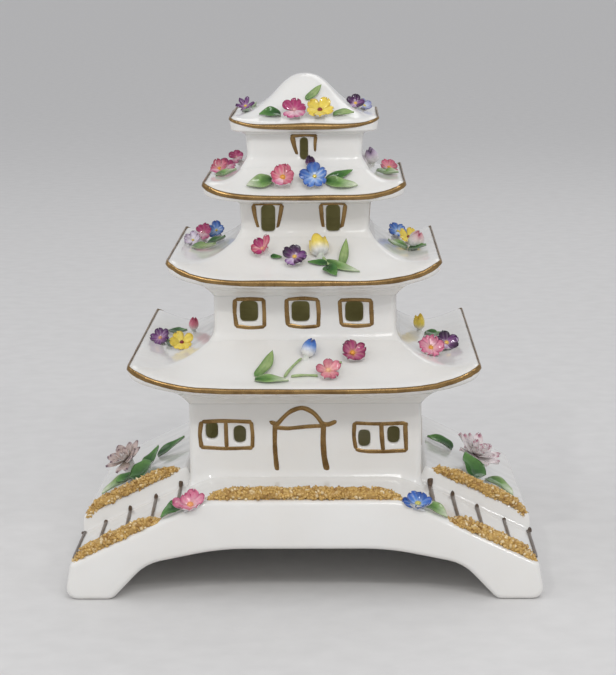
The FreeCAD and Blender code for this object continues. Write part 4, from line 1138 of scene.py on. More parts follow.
def petal(clay, angle, length, width, paint, tilt, cup, ruffle, teeth, thickness, rng, point=0.0, ahead=0.0):
    """One petal in a flower's own frame: X right, Y up and Z towards the eye that looks at it."""
    heart, inner, outer, edge, streak = PAINTS[paint]
    phase = rng.uniform(0, 6.28)
    sway = rng.uniform(-0.08, 0.08) * length
    roll_back = rng.uniform(-0.10, 0.06) * length
    shade = rng.uniform(0.88, 1.1)
    top, bottom, tints = [], [], []
    for j in range(PETAL_ROWS + 1):
        v = j / PETAL_ROWS
        if v < 0.62:
            half = 0.26 + 0.74 * math.sin(math.pi / 2 * v / 0.62) ** 1.2
        else:
            away = (v - 0.62) / 0.38 * 0.975
            half = (1 - away ** 2) ** 0.5 * (1 - point) + (1 - away) * point
        half *= width / 2
        for i in range(PETAL_COLUMNS + 1):
            u = 2 * i / PETAL_COLUMNS - 1
            notch = (0.10 * (1 - point) * math.exp(-8 * u * u) * v ** 5
                     + teeth * abs(math.sin(phase + 4.5 * u)) * v ** 4) * length
            x = u * half + sway * v * v
            y = v * length - notch
            z = cup * length * v * v + 0.5 * cup * width * u * u * v + roll_back * v ** 5 + ahead
            z += ruffle * length * (math.sin(3.1 * u + phase) * v * v
                                    + 0.5 * math.sin(6.3 * u + 2 * phase) * v ** 3)
            round_off = math.sqrt(max(0.0, 1 - (0.9 * u) ** 2))
            lift = thickness * 0.5 * (1 - 0.4 * v) * round_off * (1 - 0.75 * v ** 8)
            top.append(Vector((x, y, z + lift)))
            bottom.append(Vector((x, y, z - lift)))
            colour = mix(heart, inner, v / 0.30) if v < 0.30 else mix(inner, outer, (v - 0.30) / 0.4)
            line = max(0.0, math.cos(8.0 * u + 0.9 * phase)) ** 2
            colour = mix(colour, mix(heart, WHITE, 0.5), streak * line * (1 - v) * (0.3 + v) * 2.0)
            rim = max((v - 0.80) / 0.16, (abs(u) - 0.66) / 0.34 if v > 0.35 and not point else 0.0)
            colour = mix(colour, edge, 0.85 * rim * (0.75 + 0.5 * math.sin(9 * v + phase + 4 * u)))
            tints.append(shaded(colour, shade * rng.uniform(0.92, 1.06)))
    columns = PETAL_COLUMNS + 1
    faces = []
    for j in range(PETAL_ROWS):
        for i in range(PETAL_COLUMNS):
            a = j * columns + i
            faces.append((a, a + 1, a + 1 + columns, a + columns))
    count = len(top)
    under = [tuple(count + k for k in face[::-1]) for face in faces]
    border = list(range(columns))
    border += [j * columns + PETAL_COLUMNS for j in range(1, PETAL_ROWS + 1)]
    border += [PETAL_ROWS * columns + i for i in range(PETAL_COLUMNS - 1, -1, -1)]
    border += [j * columns for j in range(PETAL_ROWS - 1, 0, -1)]
    sides = []
    for a, b in zip(border, border[1:] + border[:1]):
        sides.append((b, a, count + a, count + b))
    pale = [mix(t, WHITE, 0.8) for t in tints]
    whole = Clay()
    whole.add(top + bottom, faces + under + sides, tints + pale)
    lean = Matrix.Rotation(math.radians(tilt), 4, "X")
    turn = Matrix.Rotation(math.radians(angle - 90), 4, "Z")
    whole.move(turn @ Matrix.Translation((0, 0.10 * length, 0)) @ lean)
    clay.join(whole)


def eye(clay, radius, colour, rise, rim=None):
    """Small domed heart of a flower, in the flower's own frame."""
    points = [Vector((0, 0, rise + 0.55 * radius))]
    tints = [colour]
    around = 12
    for k, (out, up) in enumerate(((0.5, 0.45), (0.85, 0.2), (1.0, -0.15), (0.8, -0.6))):
        for i in range(around):
            angle = 2 * math.pi * i / around
            reach = radius * out
            points.append(Vector((reach * math.cos(angle), reach * math.sin(angle), rise + up * radius)))
            tints.append(colour if k < 2 or rim is None else rim)
    faces = [(0, 1 + i, 1 + (i + 1) % around) for i in range(around)]
    for k in range(3):
        for i in range(around):
            a = 1 + k * around + i
            b = 1 + k * around + (i + 1) % around
            faces.append((a, a + around, b + around, b))
    faces.append(tuple(1 + 3 * around + i for i in range(around)))
    clay.add(points, faces, tints)


def foot(clay, seat, normal, centre, look, radius, tint):
    """Lump of slip from the ground up into the back of a flower, spread where it meets the glaze."""
    around = 16
    points = []
    tints = []
    stations = ((0.0, 1.7, -0.35), (0.0, 1.35, 0.06), (0.3, 1.08, 0.0), (0.65, 1.05, 0.0), (1.0, 1.35, 0.0))
    for share, out, up in stations:
        axis = (normal * (1 - share) + look * share).normalized()
        middle = seat + (centre - seat) * share + normal * up
        right = UP.cross(look).normalized()
        right = (right - axis * right.dot(axis)).normalized()
        forward = axis.cross(right)
        for i in range(around):
            angle = 2 * math.pi * i / around
            reach = radius * out * (1 + 0.10 * math.sin(3 * angle + 40 * radius))
            points.append(middle + (right * math.cos(angle) + forward * math.sin(angle)) * reach)
            tints.append(mix(WHITE, tint, 0.05 + 0.3 * share))
    clay.add(points, loop_faces(len(stations), around, closed_ends=True), tints)


def facing(azimuth, elevation):
    """Direction a flower looks in. Azimuth 0 is the front, 90 the right."""
    turn = math.radians(azimuth)
    tilt = math.radians(elevation)
    return Vector((math.sin(turn) * math.cos(tilt), -math.cos(turn) * math.cos(tilt), math.sin(tilt)))


def flower_frame(centre, look):
    """Matrix from a flower's own frame to the burner's."""
    right = UP.cross(look).normalized()
    up = look.cross(right)
    matrix = Matrix((right, up, look)).transposed().to_4x4()
    return Matrix.Translation(centre) @ matrix


# Kinds of flower: petals as (angle, length share, width share, paint), then tilt, cup, ruffle, teeth,
# and the eye as (radius share, colour, rim colour)
EYE_ORANGE = (0.80, 0.36, 0.05)
EYE_YELLOW = (0.80, 0.60, 0.08)
EYE_DARK = (0.22, 0.02, 0.03)
KINDS = {
    "salmon": (((98, 0.95, 0.95, "salmon"), (30, 1.05, 1.0, "salmon"), (-38, 1.0, 1.0, "salmon"),
                (-105, 0.95, 1.05, "salmon"), (172, 0.95, 0.9, "salmon")), 24, 0.12, 0.07, 0.05,
               (0.20, (0.84, 0.50, 0.28), None)),
    "pansy_red": (((100, 1.0, 1.1, "pansy_red"), (158, 0.95, 0.95, "pansy_red"), (32, 1.0, 1.05, "pansy_red"),
                   (-32, 0.95, 1.0, "pansy_red"), (-115, 0.9, 1.3, "pansy_red")), 26, 0.16, 0.08, 0.05,
                  (0.20, EYE_ORANGE, (0.26, 0.01, 0.05))),
    "rose": (((62, 0.95, 0.95, "rose"), (118, 0.95, 0.95, "rose"), (178, 0.9, 0.95, "rose"),
              (-122, 0.95, 1.0, "pale_pink"), (-62, 0.95, 0.95, "rose"), (4, 0.85, 0.9, "rose")),
             24, 0.12, 0.06, 0.03, (0.20, EYE_ORANGE, EYE_YELLOW)),
    "blue": (((95, 1.05, 1.15, "blue"), (25, 0.95, 1.0, "pale_blue"), (-45, 1.0, 1.1, "pale_blue"),
              (-125, 1.0, 1.05, "pale_blue"), (165, 1.0, 1.05, "blue")), 20, 0.10, 0.06, 0.03,
             (0.15, EYE_YELLOW, (0.35, 0.22, 0.03))),
    "crimson": (((75, 1.0, 1.05, "crimson"), (140, 1.0, 1.05, "crimson"), (10, 0.85, 0.95, "crimson"),
                 (-55, 1.05, 1.1, "pale_pink"), (-125, 1.05, 1.1, "pale_pink")), 20, 0.10, 0.06, 0.03,
                (0.14, (0.74, 0.40, 0.42), None)),
    "yellow": (((140, 1.1, 1.1, "yellow"), (52, 1.05, 1.1, "yellow"), (-18, 1.0, 1.0, "yellow"),
                (-85, 0.9, 1.15, "yellow"), (-150, 1.05, 1.1, "yellow")), 20, 0.12, 0.05, 0.02,
               (0.19, EYE_DARK, (0.45, 0.05, 0.04))),
    "purple": (((95, 1.0, 1.0, "purple"), (30, 0.95, 1.0, "purple"), (-40, 0.95, 1.0, "purple"),
                (-110, 1.0, 1.0, "purple"), (165, 1.0, 1.0, "purple")), 24, 0.12, 0.08, 0.07,
               (0.19, (0.78, 0.42, 0.22), (0.5, 0.2, 0.3))),
    "pansy_purple": (((78, 1.0, 1.1, "dark_purple"), (145, 1.0, 1.05, "dark_purple"),
                      (5, 0.95, 1.0, "purple"), (-60, 0.95, 1.05, "dark_purple"), (-128, 1.0, 1.1, "lilac")),
                     24, 0.14, 0.07, 0.03, (0.20, (0.82, 0.50, 0.10), (0.62, 0.44, 0.66))),
    "side_pink": (((62, 1.25, 0.9, "rose"), (128, 0.95, 0.95, "crimson"), (195, 0.95, 0.95, "rose"),
                   (250, 0.8, 0.9, "crimson"), (-5, 0.7, 0.85, "rose")), 34, 0.18, 0.10, 0.05,
                  (0.16, (0.80, 0.40, 0.26), None)),
    "fringed": (tuple((22 + 45 * k, 1.0, 0.85, "pink") for k in range(8)), 22, 0.10, 0.08, 0.16,
                (0.18, EYE_ORANGE, EYE_YELLOW)),
    "grey": (tuple((angle, 1.0, 1.0, "grey_blue") for angle in (100, 28, -44, -116, 172)),
             22, 0.1, 0.06, 0.05, (0.18, EYE_YELLOW, None)),
    "white_lilac": (tuple((18 + 72 * k, 1.0, 1.05, "white_lilac") for k in range(5)), 26, 0.14, 0.08, 0.03,
                    (0.16, EYE_YELLOW, None)),
    "violet_star": (tuple((18 + 60 * k, 1.05, 0.62, "purple") for k in range(6)), 26, 0.10, 0.10, 0.0,
                    (0.16, EYE_YELLOW, None)),
    "bridge_pink": (((60, 1.05, 1.05, "pink"), (115, 0.85, 1.0, "pink"), (172, 1.15, 1.0, "pink"),
                     (-130, 0.9, 1.0, "pink"), (-60, 0.85, 1.1, "pink"), (2, 1.1, 0.95, "pink")),
                    30, 0.18, 0.06, 0.04, (0.24, (0.82, 0.38, 0.14), (0.80, 0.50, 0.34))),
    "bridge_blue": (((70, 0.85, 1.05, "blue"), (130, 0.95, 1.05, "blue"), (190, 1.05, 1.05, "blue"),
                     (-110, 0.8, 1.05, "blue"), (-45, 0.85, 1.05, "pale_blue"), (8, 1.05, 0.95, "blue")),
                    30, 0.16, 0.05, 0.03, (0.24, (0.62, 0.56, 0.14), (0.30, 0.42, 0.66))),
}

# Flowers: node, kind, side, along, share down the roof, radius, height, azimuth, elevation, roll
FLOWERS = (
    ("roof_1_front_salmon_flower", "salmon", "front", 6.7, 0.68, 3.5, 1.3, 0, 42, -8),
    ("roof_1_front_crimson_pansy", "pansy_red", "front", 13.4, 0.35, 3.8, 1.2, 8, 40, -4),
    ("roof_1_left_purple_flower", "purple", "left", -5.8, 0.76, 3.2, 1.3, -15, 45, 10),
    ("roof_1_left_yellow_flower", "yellow", "left", -13.8, 0.43, 3.4, 1.4, -10, 45, -20),
    ("roof_1_right_pink_flower", "fringed", "right", -24.0, 0.42, 3.9, 1.4, 10, 45, 0),
    ("roof_1_right_purple_flower", "pansy_purple", "right", -13.6, 0.66, 3.7, 1.3, 20, 45, 15),
    ("roof_2_front_pink_flower", "side_pink", "front", -11.7, 0.37, 3.5, 1.5, -30, 36, 0),
    ("roof_2_front_purple_pansy", "pansy_purple", "front", -2.7, 0.53, 3.6, 1.4, 0, 40, 8),
    ("roof_2_left_pink_flower", "crimson", "left", 14.0, 0.66, 2.9, 2.2, -15, 45, 0),
    ("roof_2_left_blue_flower", "blue", "left", 16.5, 0.43, 2.8, 2.0, -10, 45, 0),
    ("roof_2_left_lilac_flower", "white_lilac", "left", 1.0, 0.77, 2.7, 1.3, -20, 50, 0),
    ("roof_2_right_blue_flower", "blue", "right", 14.0, 0.43, 2.9, 1.8, 15, 45, 20),
    ("roof_2_right_yellow_flower", "yellow", "right", 7.5, 0.62, 2.9, 1.6, 20, 45, 0),
    ("roof_3_front_pink_flower", "rose", "front", -6.0, 0.53, 4.0, 1.5, 0, 38, 5),
    ("roof_3_front_blue_flower", "blue", "front", 3.0, 0.52, 4.0, 1.6, 0, 40, 0),
    ("roof_3_left_pink_flowers", "rose", "left", -4.0, 0.71, 3.0, 1.4, -20, 45, 0),
    ("roof_3_left_pink_flowers", "crimson", "left", 3.0, 0.56, 2.6, 1.5, -15, 45, 40),
    ("roof_3_left_pink_flowers", "crimson", "left", 11.6, 0.26, 2.5, 2.0, -10, 45, 20),
    ("roof_3_right_pink_flower", "rose", "right", -3.0, 0.66, 3.1, 1.3, 20, 58, 0),
    ("roof_4_front_crimson_flower", "crimson", "front", -2.8, 0.74, 3.6, 1.3, 0, 42, 5),
    ("roof_4_front_yellow_flower", "yellow", "front", 4.5, 0.74, 3.7, 1.3, 0, 42, 0),
    ("roof_4_side_flowers", "violet_star", "left", 0.0, 0.8, 2.8, 1.1, -15, 45, 0),
    ("roof_4_side_flowers", "pansy_purple", "right", -5.0, 0.67, 2.8, 1.0, 15, 45, 0),
    ("roof_4_side_flowers", "grey", "right", 1.5, 0.8, 2.3, 0.9, 25, 45, 0),
    ("bridge_pink_flower", "bridge_pink", "edge", -30.8, 1.3, 4.1, 0.2, -5, 54, 12),
    ("bridge_blue_flower", "bridge_blue", "edge", 30.9, 1.5, 4.1, 0.3, 5, 60, -10),
)

# Buds: node, paint, side, along, share down, radius, length, azimuth, elevation, how far open
BUDS = (
    ("roof_1_front_blue_tulip", "blue", "front", 0.4, 0.38, 2.1, 5.3, 150, 48, 0.0),
    ("roof_1_left_pink_bud", "rose", "left", 10.0, 0.37, 1.5, 3.9, 20, 70, 0.1),
    ("roof_1_right_yellow_tulip", "yellow", "right", 9.0, 0.34, 1.8, 4.5, -10, 65, 0.5),
    ("roof_2_front_yellow_tulip", "yellow", "front", 4.6, 0.47, 2.9, 5.2, 200, 55, 0.85),
    ("roof_2_right_tulip", "white_pink", "right", -6.6, 0.66, 2.4, 4.8, 40, 55, 0.0),
    ("roof_3_front_dark_bud", "dark_purple", "front", 1.6, 0.15, 1.5, 2.8, 0, 60, 0.2),
    ("roof_3_right_tulip", "purple_tip", "right", 5.0, 0.26, 2.1, 4.4, -30, 60, 0.3),
)

# Leaves by node and side: along, share down, direction, length, width, lift of the tip, shade
LEAVES = (
    ("roof_1_front_leaves", "front", (
        (-13.4, 0.73, 155, 10.2, 3.3, 1.2, "pale"),
        (-13.6, 0.80, 86, 9.4, 2.9, 0.3, "fading"))),
    ("roof_1_left_leaves", "left", (
        (13.0, 0.72, 66, 6.6, 3.0, 0.8, "deep"),
        (-9.0, 0.6, 190, 5.8, 2.8, 0.8, "deep"))),
    ("roof_1_right_leaves", "right", (
        (4.4, 0.4, 99, 6.0, 3.0, 1.0, "deep"),
        (-18.5, 0.5, 175, 6.0, 2.8, 0.8, "fading"))),
    ("roof_2_front_leaves", "front", (
        (-9.4, 0.44, 75, 3.2, 1.5, 0.4, "deep"),
        (6.4, 0.66, 30, 5.4, 4.0, 0.3, "deep"),
        (10.4, 0.66, 171, 8.8, 2.6, 1.6, "pale"),
        (6.2, 0.54, 62, 10.6, 2.6, 0.3, "fading"),
        (6.6, 0.60, -96, 5.6, 2.0, 0.3, "deep"))),
    ("roof_2_left_leaves", "left", (
        (-4.6, 0.76, 80, 7.4, 3.6, 0.8, "pale"),
        (3.0, 0.56, 100, 5.6, 2.8, 0.8, "deep"))),
    ("roof_2_right_leaves", "right", (
        (-7.6, 0.56, -115, 6.0, 3.6, 0.8, "fading"),
        (-9.0, 0.58, 78, 5.4, 3.2, 0.8, "deep"))),
    ("roof_3_front_leaves", "front", (
        (-9.0, 0.50, -70, 7.6, 4.4, 0.5, "fading"),
        (6.2, 0.50, 110, 7.9, 2.7, 0.5, "deep"),
        (6.2, 0.53, 76, 9.2, 3.6, 0.5, "fading"))),
    ("roof_3_left_leaves", "left", (
        (-9.0, 0.78, 84, 6.2, 3.0, 0.6, "fading"),
        (6.4, 0.76, 170, 5.4, 2.8, 0.6, "fading"))),
    ("roof_3_right_leaves", "right", (
        (-7.4, 0.36, 76, 6.6, 3.2, 0.6, "fading"),
        (2.4, 0.75, 175, 5.8, 2.8, 0.6, "deep"))),
    ("roof_4_leaves", "front", (
        (-6.6, 0.76, -84, 6.2, 3.4, 0.4, "deep"),
        (0.4, 0.5, 126, 5.4, 2.2, 0.6, "pale"),
        (8.2, 0.77, 90, 6.0, 2.3, 0.4, "pale"))),
    ("roof_4_leaves", "left", (
        (-4.6, 0.8, 5, 5.0, 2.8, 0.5, "deep"),
        (4.4, 0.74, 175, 5.0, 2.6, 0.5, "fading"))),
    ("roof_4_leaves", "right", (
        (5.0, 0.76, 170, 5.0, 2.6, 0.5, "deep"),)),
    ("bridge_flower_leaves", "edge", (
        (-32.6, 2.8, -86, 6.4, 4.4, 0.3, "deep"),
        (32.4, 2.8, 86, 6.6, 4.0, 0.2, "fading"))),
    ("garden_left_leaves", "garden", (
        (-46.0, 13.0, 96, 8.2, 3.2, 2.4, "deep"),
        (-49.0, 3.0, 150, 7.0, 4.2, 4.0, "deep"),
        (-49.6, -12.0, 174, 8.6, 8.0, 3.6, "deep"),
        (-50.8, -6.0, -84, 6.0, 4.0, 1.6, "deep"),
        (-52.2, -3.0, -58, 10.4, 4.2, 0.4, "fading"))),
    ("garden_right_leaves", "garden", (
        (44.0, 18.0, -96, 7.6, 4.2, 0.6, "deep"),
        (48.9, -13.0, -168, 9.2, 7.6, 5.0, "deep"),
        (49.0, -6.0, 150, 7.0, 4.6, 3.0, "deep"),
        (53.0, -6.0, 45, 10.5, 4.8, 0.6, "fading"))),
)

# Stems: node, side, along, share down, direction, length
STEMS = (
    ("roof_1_front_leaves", "front", -5.4, 0.735, 150, 8.8),
    ("roof_1_front_leaves", "front", -3.6, 0.73, 92, 7.4),
    ("roof_1_front_leaves", "front", 8.4, 0.60, 150, 3.6),
    ("roof_2_front_leaves", "front", 4.9, 0.46, 30, 4.2),
    ("roof_3_front_leaves", "front", 1.4, 0.17, 20, 3.0),
)

# Large double flowers: node, x, y, radius, height, azimuth, elevation, paint, heart colour, seed
FULL_FLOWERS = (
    ("garden_left_chrysanthemum", -53.9, 11.0, 6.8, 3.8, -55, 52, "white_purple", (0.40, 0.26, 0.26), 3),
    ("garden_right_chrysanthemum", 49.6, 10.0, 8.2, 3.2, 52, 58, "white_crimson", (0.42, 0.03, 0.14), 5),
)

# Ground of the nodes whose names begin with these words. All others stand on the bridge
GROUNDS = {"roof_1": "storey_1_roof", "roof_2": "storey_2_roof", "roof_3": "storey_3_roof",
           "roof_4": "domed_top_roof"}


def seat(node, side, along, share):
    """A node's ground, and the plan of a seat on a roof's side, the bridge's edge or a garden."""
    ground = GROUNDS.get(node[:6], "bridge")
    if side == "garden":
        return ground, along, share
    if side == "edge":
        return ground, along, share - BRIDGE_DEPTH / 2
    half, foot_half = ROOFS[ground][2], ROOFS[ground][6]
    out = foot_half + share * (half - foot_half)
    return ground, *{"front": (along, -out), "left": (-out, along), "right": (out, along)}[side]


def build_flower(kind, ground, x, y, radius, height, azimuth, elevation, roll, thickness, seed):
    """One open flower with its petals, eye and foot."""
    petals, tilt, cup, ruffle, teeth, heart = KINDS[kind]
    rng = random.Random(seed)
    ground_point, normal = on_ground(ground, x, y)
    look = facing(azimuth, elevation)
    centre = ground_point + normal * height
    head = Clay()
    for k, (angle, length, width, paint) in enumerate(petals):
        reach = radius * length * rng.uniform(0.94, 1.06)
        petal(head, angle + roll + rng.uniform(-6, 6), reach, radius * width * PETAL_SHARE, paint,
              0.7 * tilt + rng.uniform(-9, 9), cup, 1.3 * ruffle, teeth, thickness, rng,
              ahead=0.05 * radius * (k % 2))
    eye(head, radius * heart[0], heart[1], 0.16 * radius, heart[2])
    head.move(flower_frame(centre, look))
    back = centre - look * (0.02 * radius)
    foot(head, ground_point, normal, back, look, 0.36 * radius, PAINTS[petals[-1][3]][1])
    return head


# Section of a bud: share of its length, then its radius when shut and when open
BUD_SECTION = ((0.0, 0.30, 0.30), (0.06, 0.58, 0.55), (0.16, 0.82, 0.78), (0.30, 0.97, 0.94),
               (0.45, 1.0, 1.0), (0.60, 0.94, 0.99), (0.74, 0.80, 0.95), (0.86, 0.60, 0.92),
               (0.95, 0.36, 0.93), (1.0, 0.15, 0.9), (0.90, 0.08, 0.76), (0.66, 0.04, 0.5), (0.6, 0.02, 0.1))


def build_bud(paint, ground, x, y, radius, length, azimuth, elevation, openness, seed):
    """Tulip bud: three petals folded round each other, painted at the tip and white below."""
    rng = random.Random(seed)
    ground_point, normal = on_ground(ground, x, y)
    look = facing(azimuth, elevation)
    base = ground_point + normal * (0.45 * radius)
    clay = Clay()
    _, inner, outer, edge, _ = PAINTS[paint]
    around = 30
    phase = rng.uniform(0, 6.28)
    points = []
    tints = []
    for up, shut, wide in BUD_SECTION:
        out = shut + openness * (wide - shut)
        for i in range(around):
            angle = 2 * math.pi * i / around
            lobe = math.cos(3 * angle + phase)
            groove = 1 - 0.13 * (0.5 - 0.5 * lobe) ** 4
            reach = radius * out * groove * (1 + 0.05 * lobe * up)
            rise = up * length + 0.11 * length * lobe * up ** 3
            points.append(Vector((reach * math.cos(angle), reach * math.sin(angle), rise)))
            colour = mix(WHITE, inner, (up - 0.14) / 0.4)
            colour = mix(colour, outer, (up - 0.5) / 0.35)
            colour = mix(colour, edge, 0.8 * (up - 0.84) * 6 + 0.35 * (0.5 - 0.5 * lobe) ** 6 * up)
            colour = mix(colour, WHITE, 0.3 * max(0.0, math.cos(7 * angle + phase)) ** 3 * (1 - up))
            tints.append(shaded(colour, rng.uniform(0.93, 1.05)))
    body = Clay()
    body.add(points, loop_faces(len(BUD_SECTION), around, closed_ends=True), tints)
    body.move(flower_frame(base, look))
    clay.join(body)
    foot(clay, ground_point, normal, base + look * (0.1 * length), look, 0.36 * radius, (0.4, 0.55, 0.25))
    return clay


# Greens of a leaf at its base, its middle, its tip and its edges
SHADES = {
    "deep": ((0.010, 0.050, 0.008), (0.030, 0.125, 0.018), (0.12, 0.28, 0.06), (0.10, 0.24, 0.06)),
    "fading": ((0.018, 0.085, 0.012), (0.16, 0.32, 0.07), (0.66, 0.70, 0.54), (0.34, 0.46, 0.20)),
    "pale": ((0.10, 0.22, 0.05), (0.36, 0.46, 0.20), (0.30, 0.42, 0.14), (0.10, 0.22, 0.045)),
}

# Lean of a leaf's face towards the front in degrees, on a roof and elsewhere
ROOF_LEAN = 16
LEAF_LEAN = {"garden": 26, "edge": 30}


def build_leaf(ground, x, y, direction, length, width, lift, shade, lean, seed):
    """Curved leaf with a folded midrib. It follows the china and its face leans towards the front."""
    rng = random.Random(seed)
    course = facing(direction, 0)
    side_way = UP.cross(course)
    root, middle, tip, rim = SHADES[shade]
    bend = rng.uniform(-0.09, 0.09) * length
    phase = rng.uniform(0, 6.28)
    tilt = math.radians(lean) * side_way.y
    steps = 16
    across = (-1.0, -0.86, -0.62, -0.32, 0.0, 0.32, 0.62, 0.86, 1.0)
    points = []
    tints = []
    for k in range(steps + 1):
        share = k / steps
        outline = math.sin(math.pi * min(1.0, 0.09 + 0.91 * share ** 0.8)) ** 0.7 if share < 0.995 else 0.05
        half = max(0.08, outline) * width / 2
        sway = bend * math.sin(math.pi * share)
        px = x + course.x * length * share + side_way.x * sway
        py = y + course.y * length * share + side_way.y * sway
        point, normal = on_ground(ground, px, py)
        base = point + UP * (lift * share * share) + normal * (half * abs(math.sin(tilt)))
        flat = (side_way - normal * side_way.dot(normal)).normalized()
        side = flat * math.cos(tilt) + normal * math.sin(tilt)
        over = normal * math.cos(tilt) - flat * math.sin(tilt)
        upper = []
        for u in across:
            fold = (0.5 * abs(u) ** 1.6 - 0.10) * half + 0.3
            ripple = 0.16 * math.sin(7.5 * share + phase + 1.5 * u) * half * abs(u)
            upper.append((u, fold + ripple + 0.36 * (1 - u * u)))
        for u, up in upper:
            points.append(base + side * (u * half) + over * up)
            if share < 0.45:
                colour = mix(root, middle, share / 0.45)
            else:
                colour = mix(middle, tip, (share - 0.45) / 0.5)
            colour = mix(colour, rim, (abs(u) - 0.5) * 1.6)
            vein = max(0.0, math.sin(19 * share + 5 * abs(u))) ** 2
            midrib = 0.5 if abs(u) < 0.1 else 0.0
            colour = mix(colour, root, 0.30 * vein * (1 - share) + midrib * (1 - share))
            tints.append(shaded(colour, rng.uniform(0.9, 1.1)))
        for u, up in upper[::-1]:
            thick = 0.75 * (1.04 - abs(u) ** 3)
            points.append(base + side * (u * half * 0.98) + over * (up - thick))
            tints.append(mix(middle, WHITE, 0.3))
    clay = Clay()
    clay.add(points, loop_faces(steps + 1, 2 * len(across), closed_ends=True), tints)
    return clay


def build_stem(ground, x, y, direction, length, seed):
    """Thin round stem along the china."""
    rng = random.Random(seed)
    course = facing(direction, 0)
    side_way = UP.cross(course)
    points = []
    tints = []
    steps = 14
    around = 10
    for k in range(steps + 1):
        share = k / steps
        sway = 0.05 * length * math.sin(math.pi * share)
        px = x + course.x * length * share + side_way.x * sway
        py = y + course.y * length * share + side_way.y * sway
        point, normal = on_ground(ground, px, py)
        base = point + normal * 0.4
        radius = 0.45 * (1 + 0.18 * math.sin(7 * share)) * (0.75 if k in (0, steps) else 1.0)
        for i in range(around):
            angle = 2 * math.pi * i / around
            points.append(base + side_way * (radius * math.cos(angle)) + normal * (radius * math.sin(angle)))
            tints.append(mix((0.20, 0.34, 0.10), (0.48, 0.56, 0.30), rng.uniform(0.2, 0.9)))
    clay = Clay()
    clay.add(points, loop_faces(steps + 1, around, closed_ends=True), tints)
    return clay


def tier_tree():
    """Geometry nodes that set one petal round a flower's axis."""
    tree, ids = new_tree("petal_tier", "Petal", "Tier", (
        ("Petals", "Int", 12), ("Distance from the axis", "Float", 0.0005), ("Unevenness", "Float", 0.2),
        ("Tilt", "Float", 0.3), ("Seed", "Int", 1)))
    enter = add_node(tree, "NodeGroupInput")
    leave = add_node(tree, "NodeGroupOutput")
    circle = add_node(tree, "GeometryNodeMeshCircle")
    index = add_node(tree, "GeometryNodeInputIndex")
    share = add_node(tree, "ShaderNodeMath", operation="DIVIDE")
    turn = add_node(tree, "ShaderNodeMath", [(1, 2 * math.pi)], operation="MULTIPLY")
    negative = add_node(tree, "ShaderNodeMath", [(1, -1.0)], operation="MULTIPLY")
    upset = add_node(tree, "FunctionNodeRandomValue", data_type="FLOAT")
    lean = add_node(tree, "ShaderNodeMath", operation="ADD")
    whole = add_node(tree, "ShaderNodeCombineXYZ")
    least = add_node(tree, "ShaderNodeMath", [(0, 1.0)], operation="SUBTRACT")
    grow = add_node(tree, "FunctionNodeRandomValue", data_type="FLOAT")
    place = add_node(tree, "GeometryNodeInstanceOnPoints")
    real = add_node(tree, "GeometryNodeRealizeInstances")
    finish = add_node(tree, "GeometryNodeSetMaterial", [("Material", MATERIALS["petal"])])
    wire(tree, (
        (enter, "Petals", circle, "Vertices"),
        (enter, "Distance from the axis", circle, "Radius"),
        (index, "Index", share, 0),
        (enter, "Petals", share, 1),
        (share, "Value", turn, 0),
        (enter, "Unevenness", negative, 0),
        (negative, "Value", upset, "Min"),
        (enter, "Unevenness", upset, "Max"),
        (enter, "Seed", upset, "Seed"),
        (enter, "Tilt", lean, 0),
        (upset, "Value", lean, 1),
        (lean, "Value", whole, "X"),
        (turn, "Value", whole, "Z"),
        (enter, "Unevenness", least, 1),
        (least, "Value", grow, "Min"),
        (enter, "Seed", grow, "Seed"),
        (circle, "Mesh", place, "Points"),
        (enter, "Petal", place, "Instance"),
        (whole, "Vector", place, "Rotation"),
        (grow, "Value", place, "Scale"),
        (place, "Instances", real, "Geometry"),
        (real, "Geometry", finish, "Geometry"),
        (finish, "Geometry", leave, "Tier"),
    ))
    return tree, ids


# Tiers of a double flower: petals, distance from the axis, length and width of a petal as shares of
# the flower's radius, tilt in radians, and how far the tier stands ahead
TIERS = (
    (9, 0.08, 0.94, 0.50, 0.10, 0.00),
    (7, 0.07, 0.78, 0.46, 0.42, 0.05),
    (6, 0.05, 0.56, 0.38, 0.80, 0.08),
    (5, 0.03, 0.36, 0.30, 1.15, 0.10),
)
TIER_UNEVENNESS = 0.25
TIER_SPIN = 0.31


def full_flower_piece(row, tree, ids):
    """Large double flower with pointed petals in tiers round a tight heart."""
    name, x, y, radius, height, azimuth, elevation, paint, heart, seed = row
    ground_point, normal = on_ground("bridge", x, y)
    look = facing(azimuth, elevation)
    centre = ground_point + normal * height
    frame_here = flower_frame(centre, look)
    in_metres = Matrix.Translation(frame_here.translation * MM) @ frame_here.to_3x3().to_4x4()
    tiers = []
    for k, (count, reach, length, width, tilt, ahead) in enumerate(TIERS):
        rng = random.Random(seed + k)
        one = Clay()
        petal(one, 90, radius * length, radius * width, paint, 0, 0.12, 0.05, 0.0, 0.5, rng, 0.35)
        tier = make_piece("tier", one, [MATERIALS["petal"]])
        ring = tier.modifiers.new("tier", "NODES")
        ring.node_group = tree
        for key, value in (("Petals", count), ("Distance from the axis", reach * radius * MM),
                           ("Tilt", tilt), ("Unevenness", TIER_UNEVENNESS), ("Seed", seed + 7 * k)):
            ring[ids[key]] = value
        freeze(tier)
        spin = Matrix.Rotation(TIER_SPIN * k, 4, "Z")
        tier.data.transform(in_metres @ Matrix.Translation((0, 0, ahead * radius * MM)) @ spin)
        tiers.append(tier)
    rest = Clay()
    eye(rest, 0.17 * radius, heart, 0.20 * radius)
    rest.move(frame_here)
    foot(rest, ground_point, normal, centre, look, 0.26 * radius, WHITE)
    piece = make_piece(name + "_petals", rest, [MATERIALS["petal"]])
    join_meshes(piece, tiers)
    return settle(piece, [name])


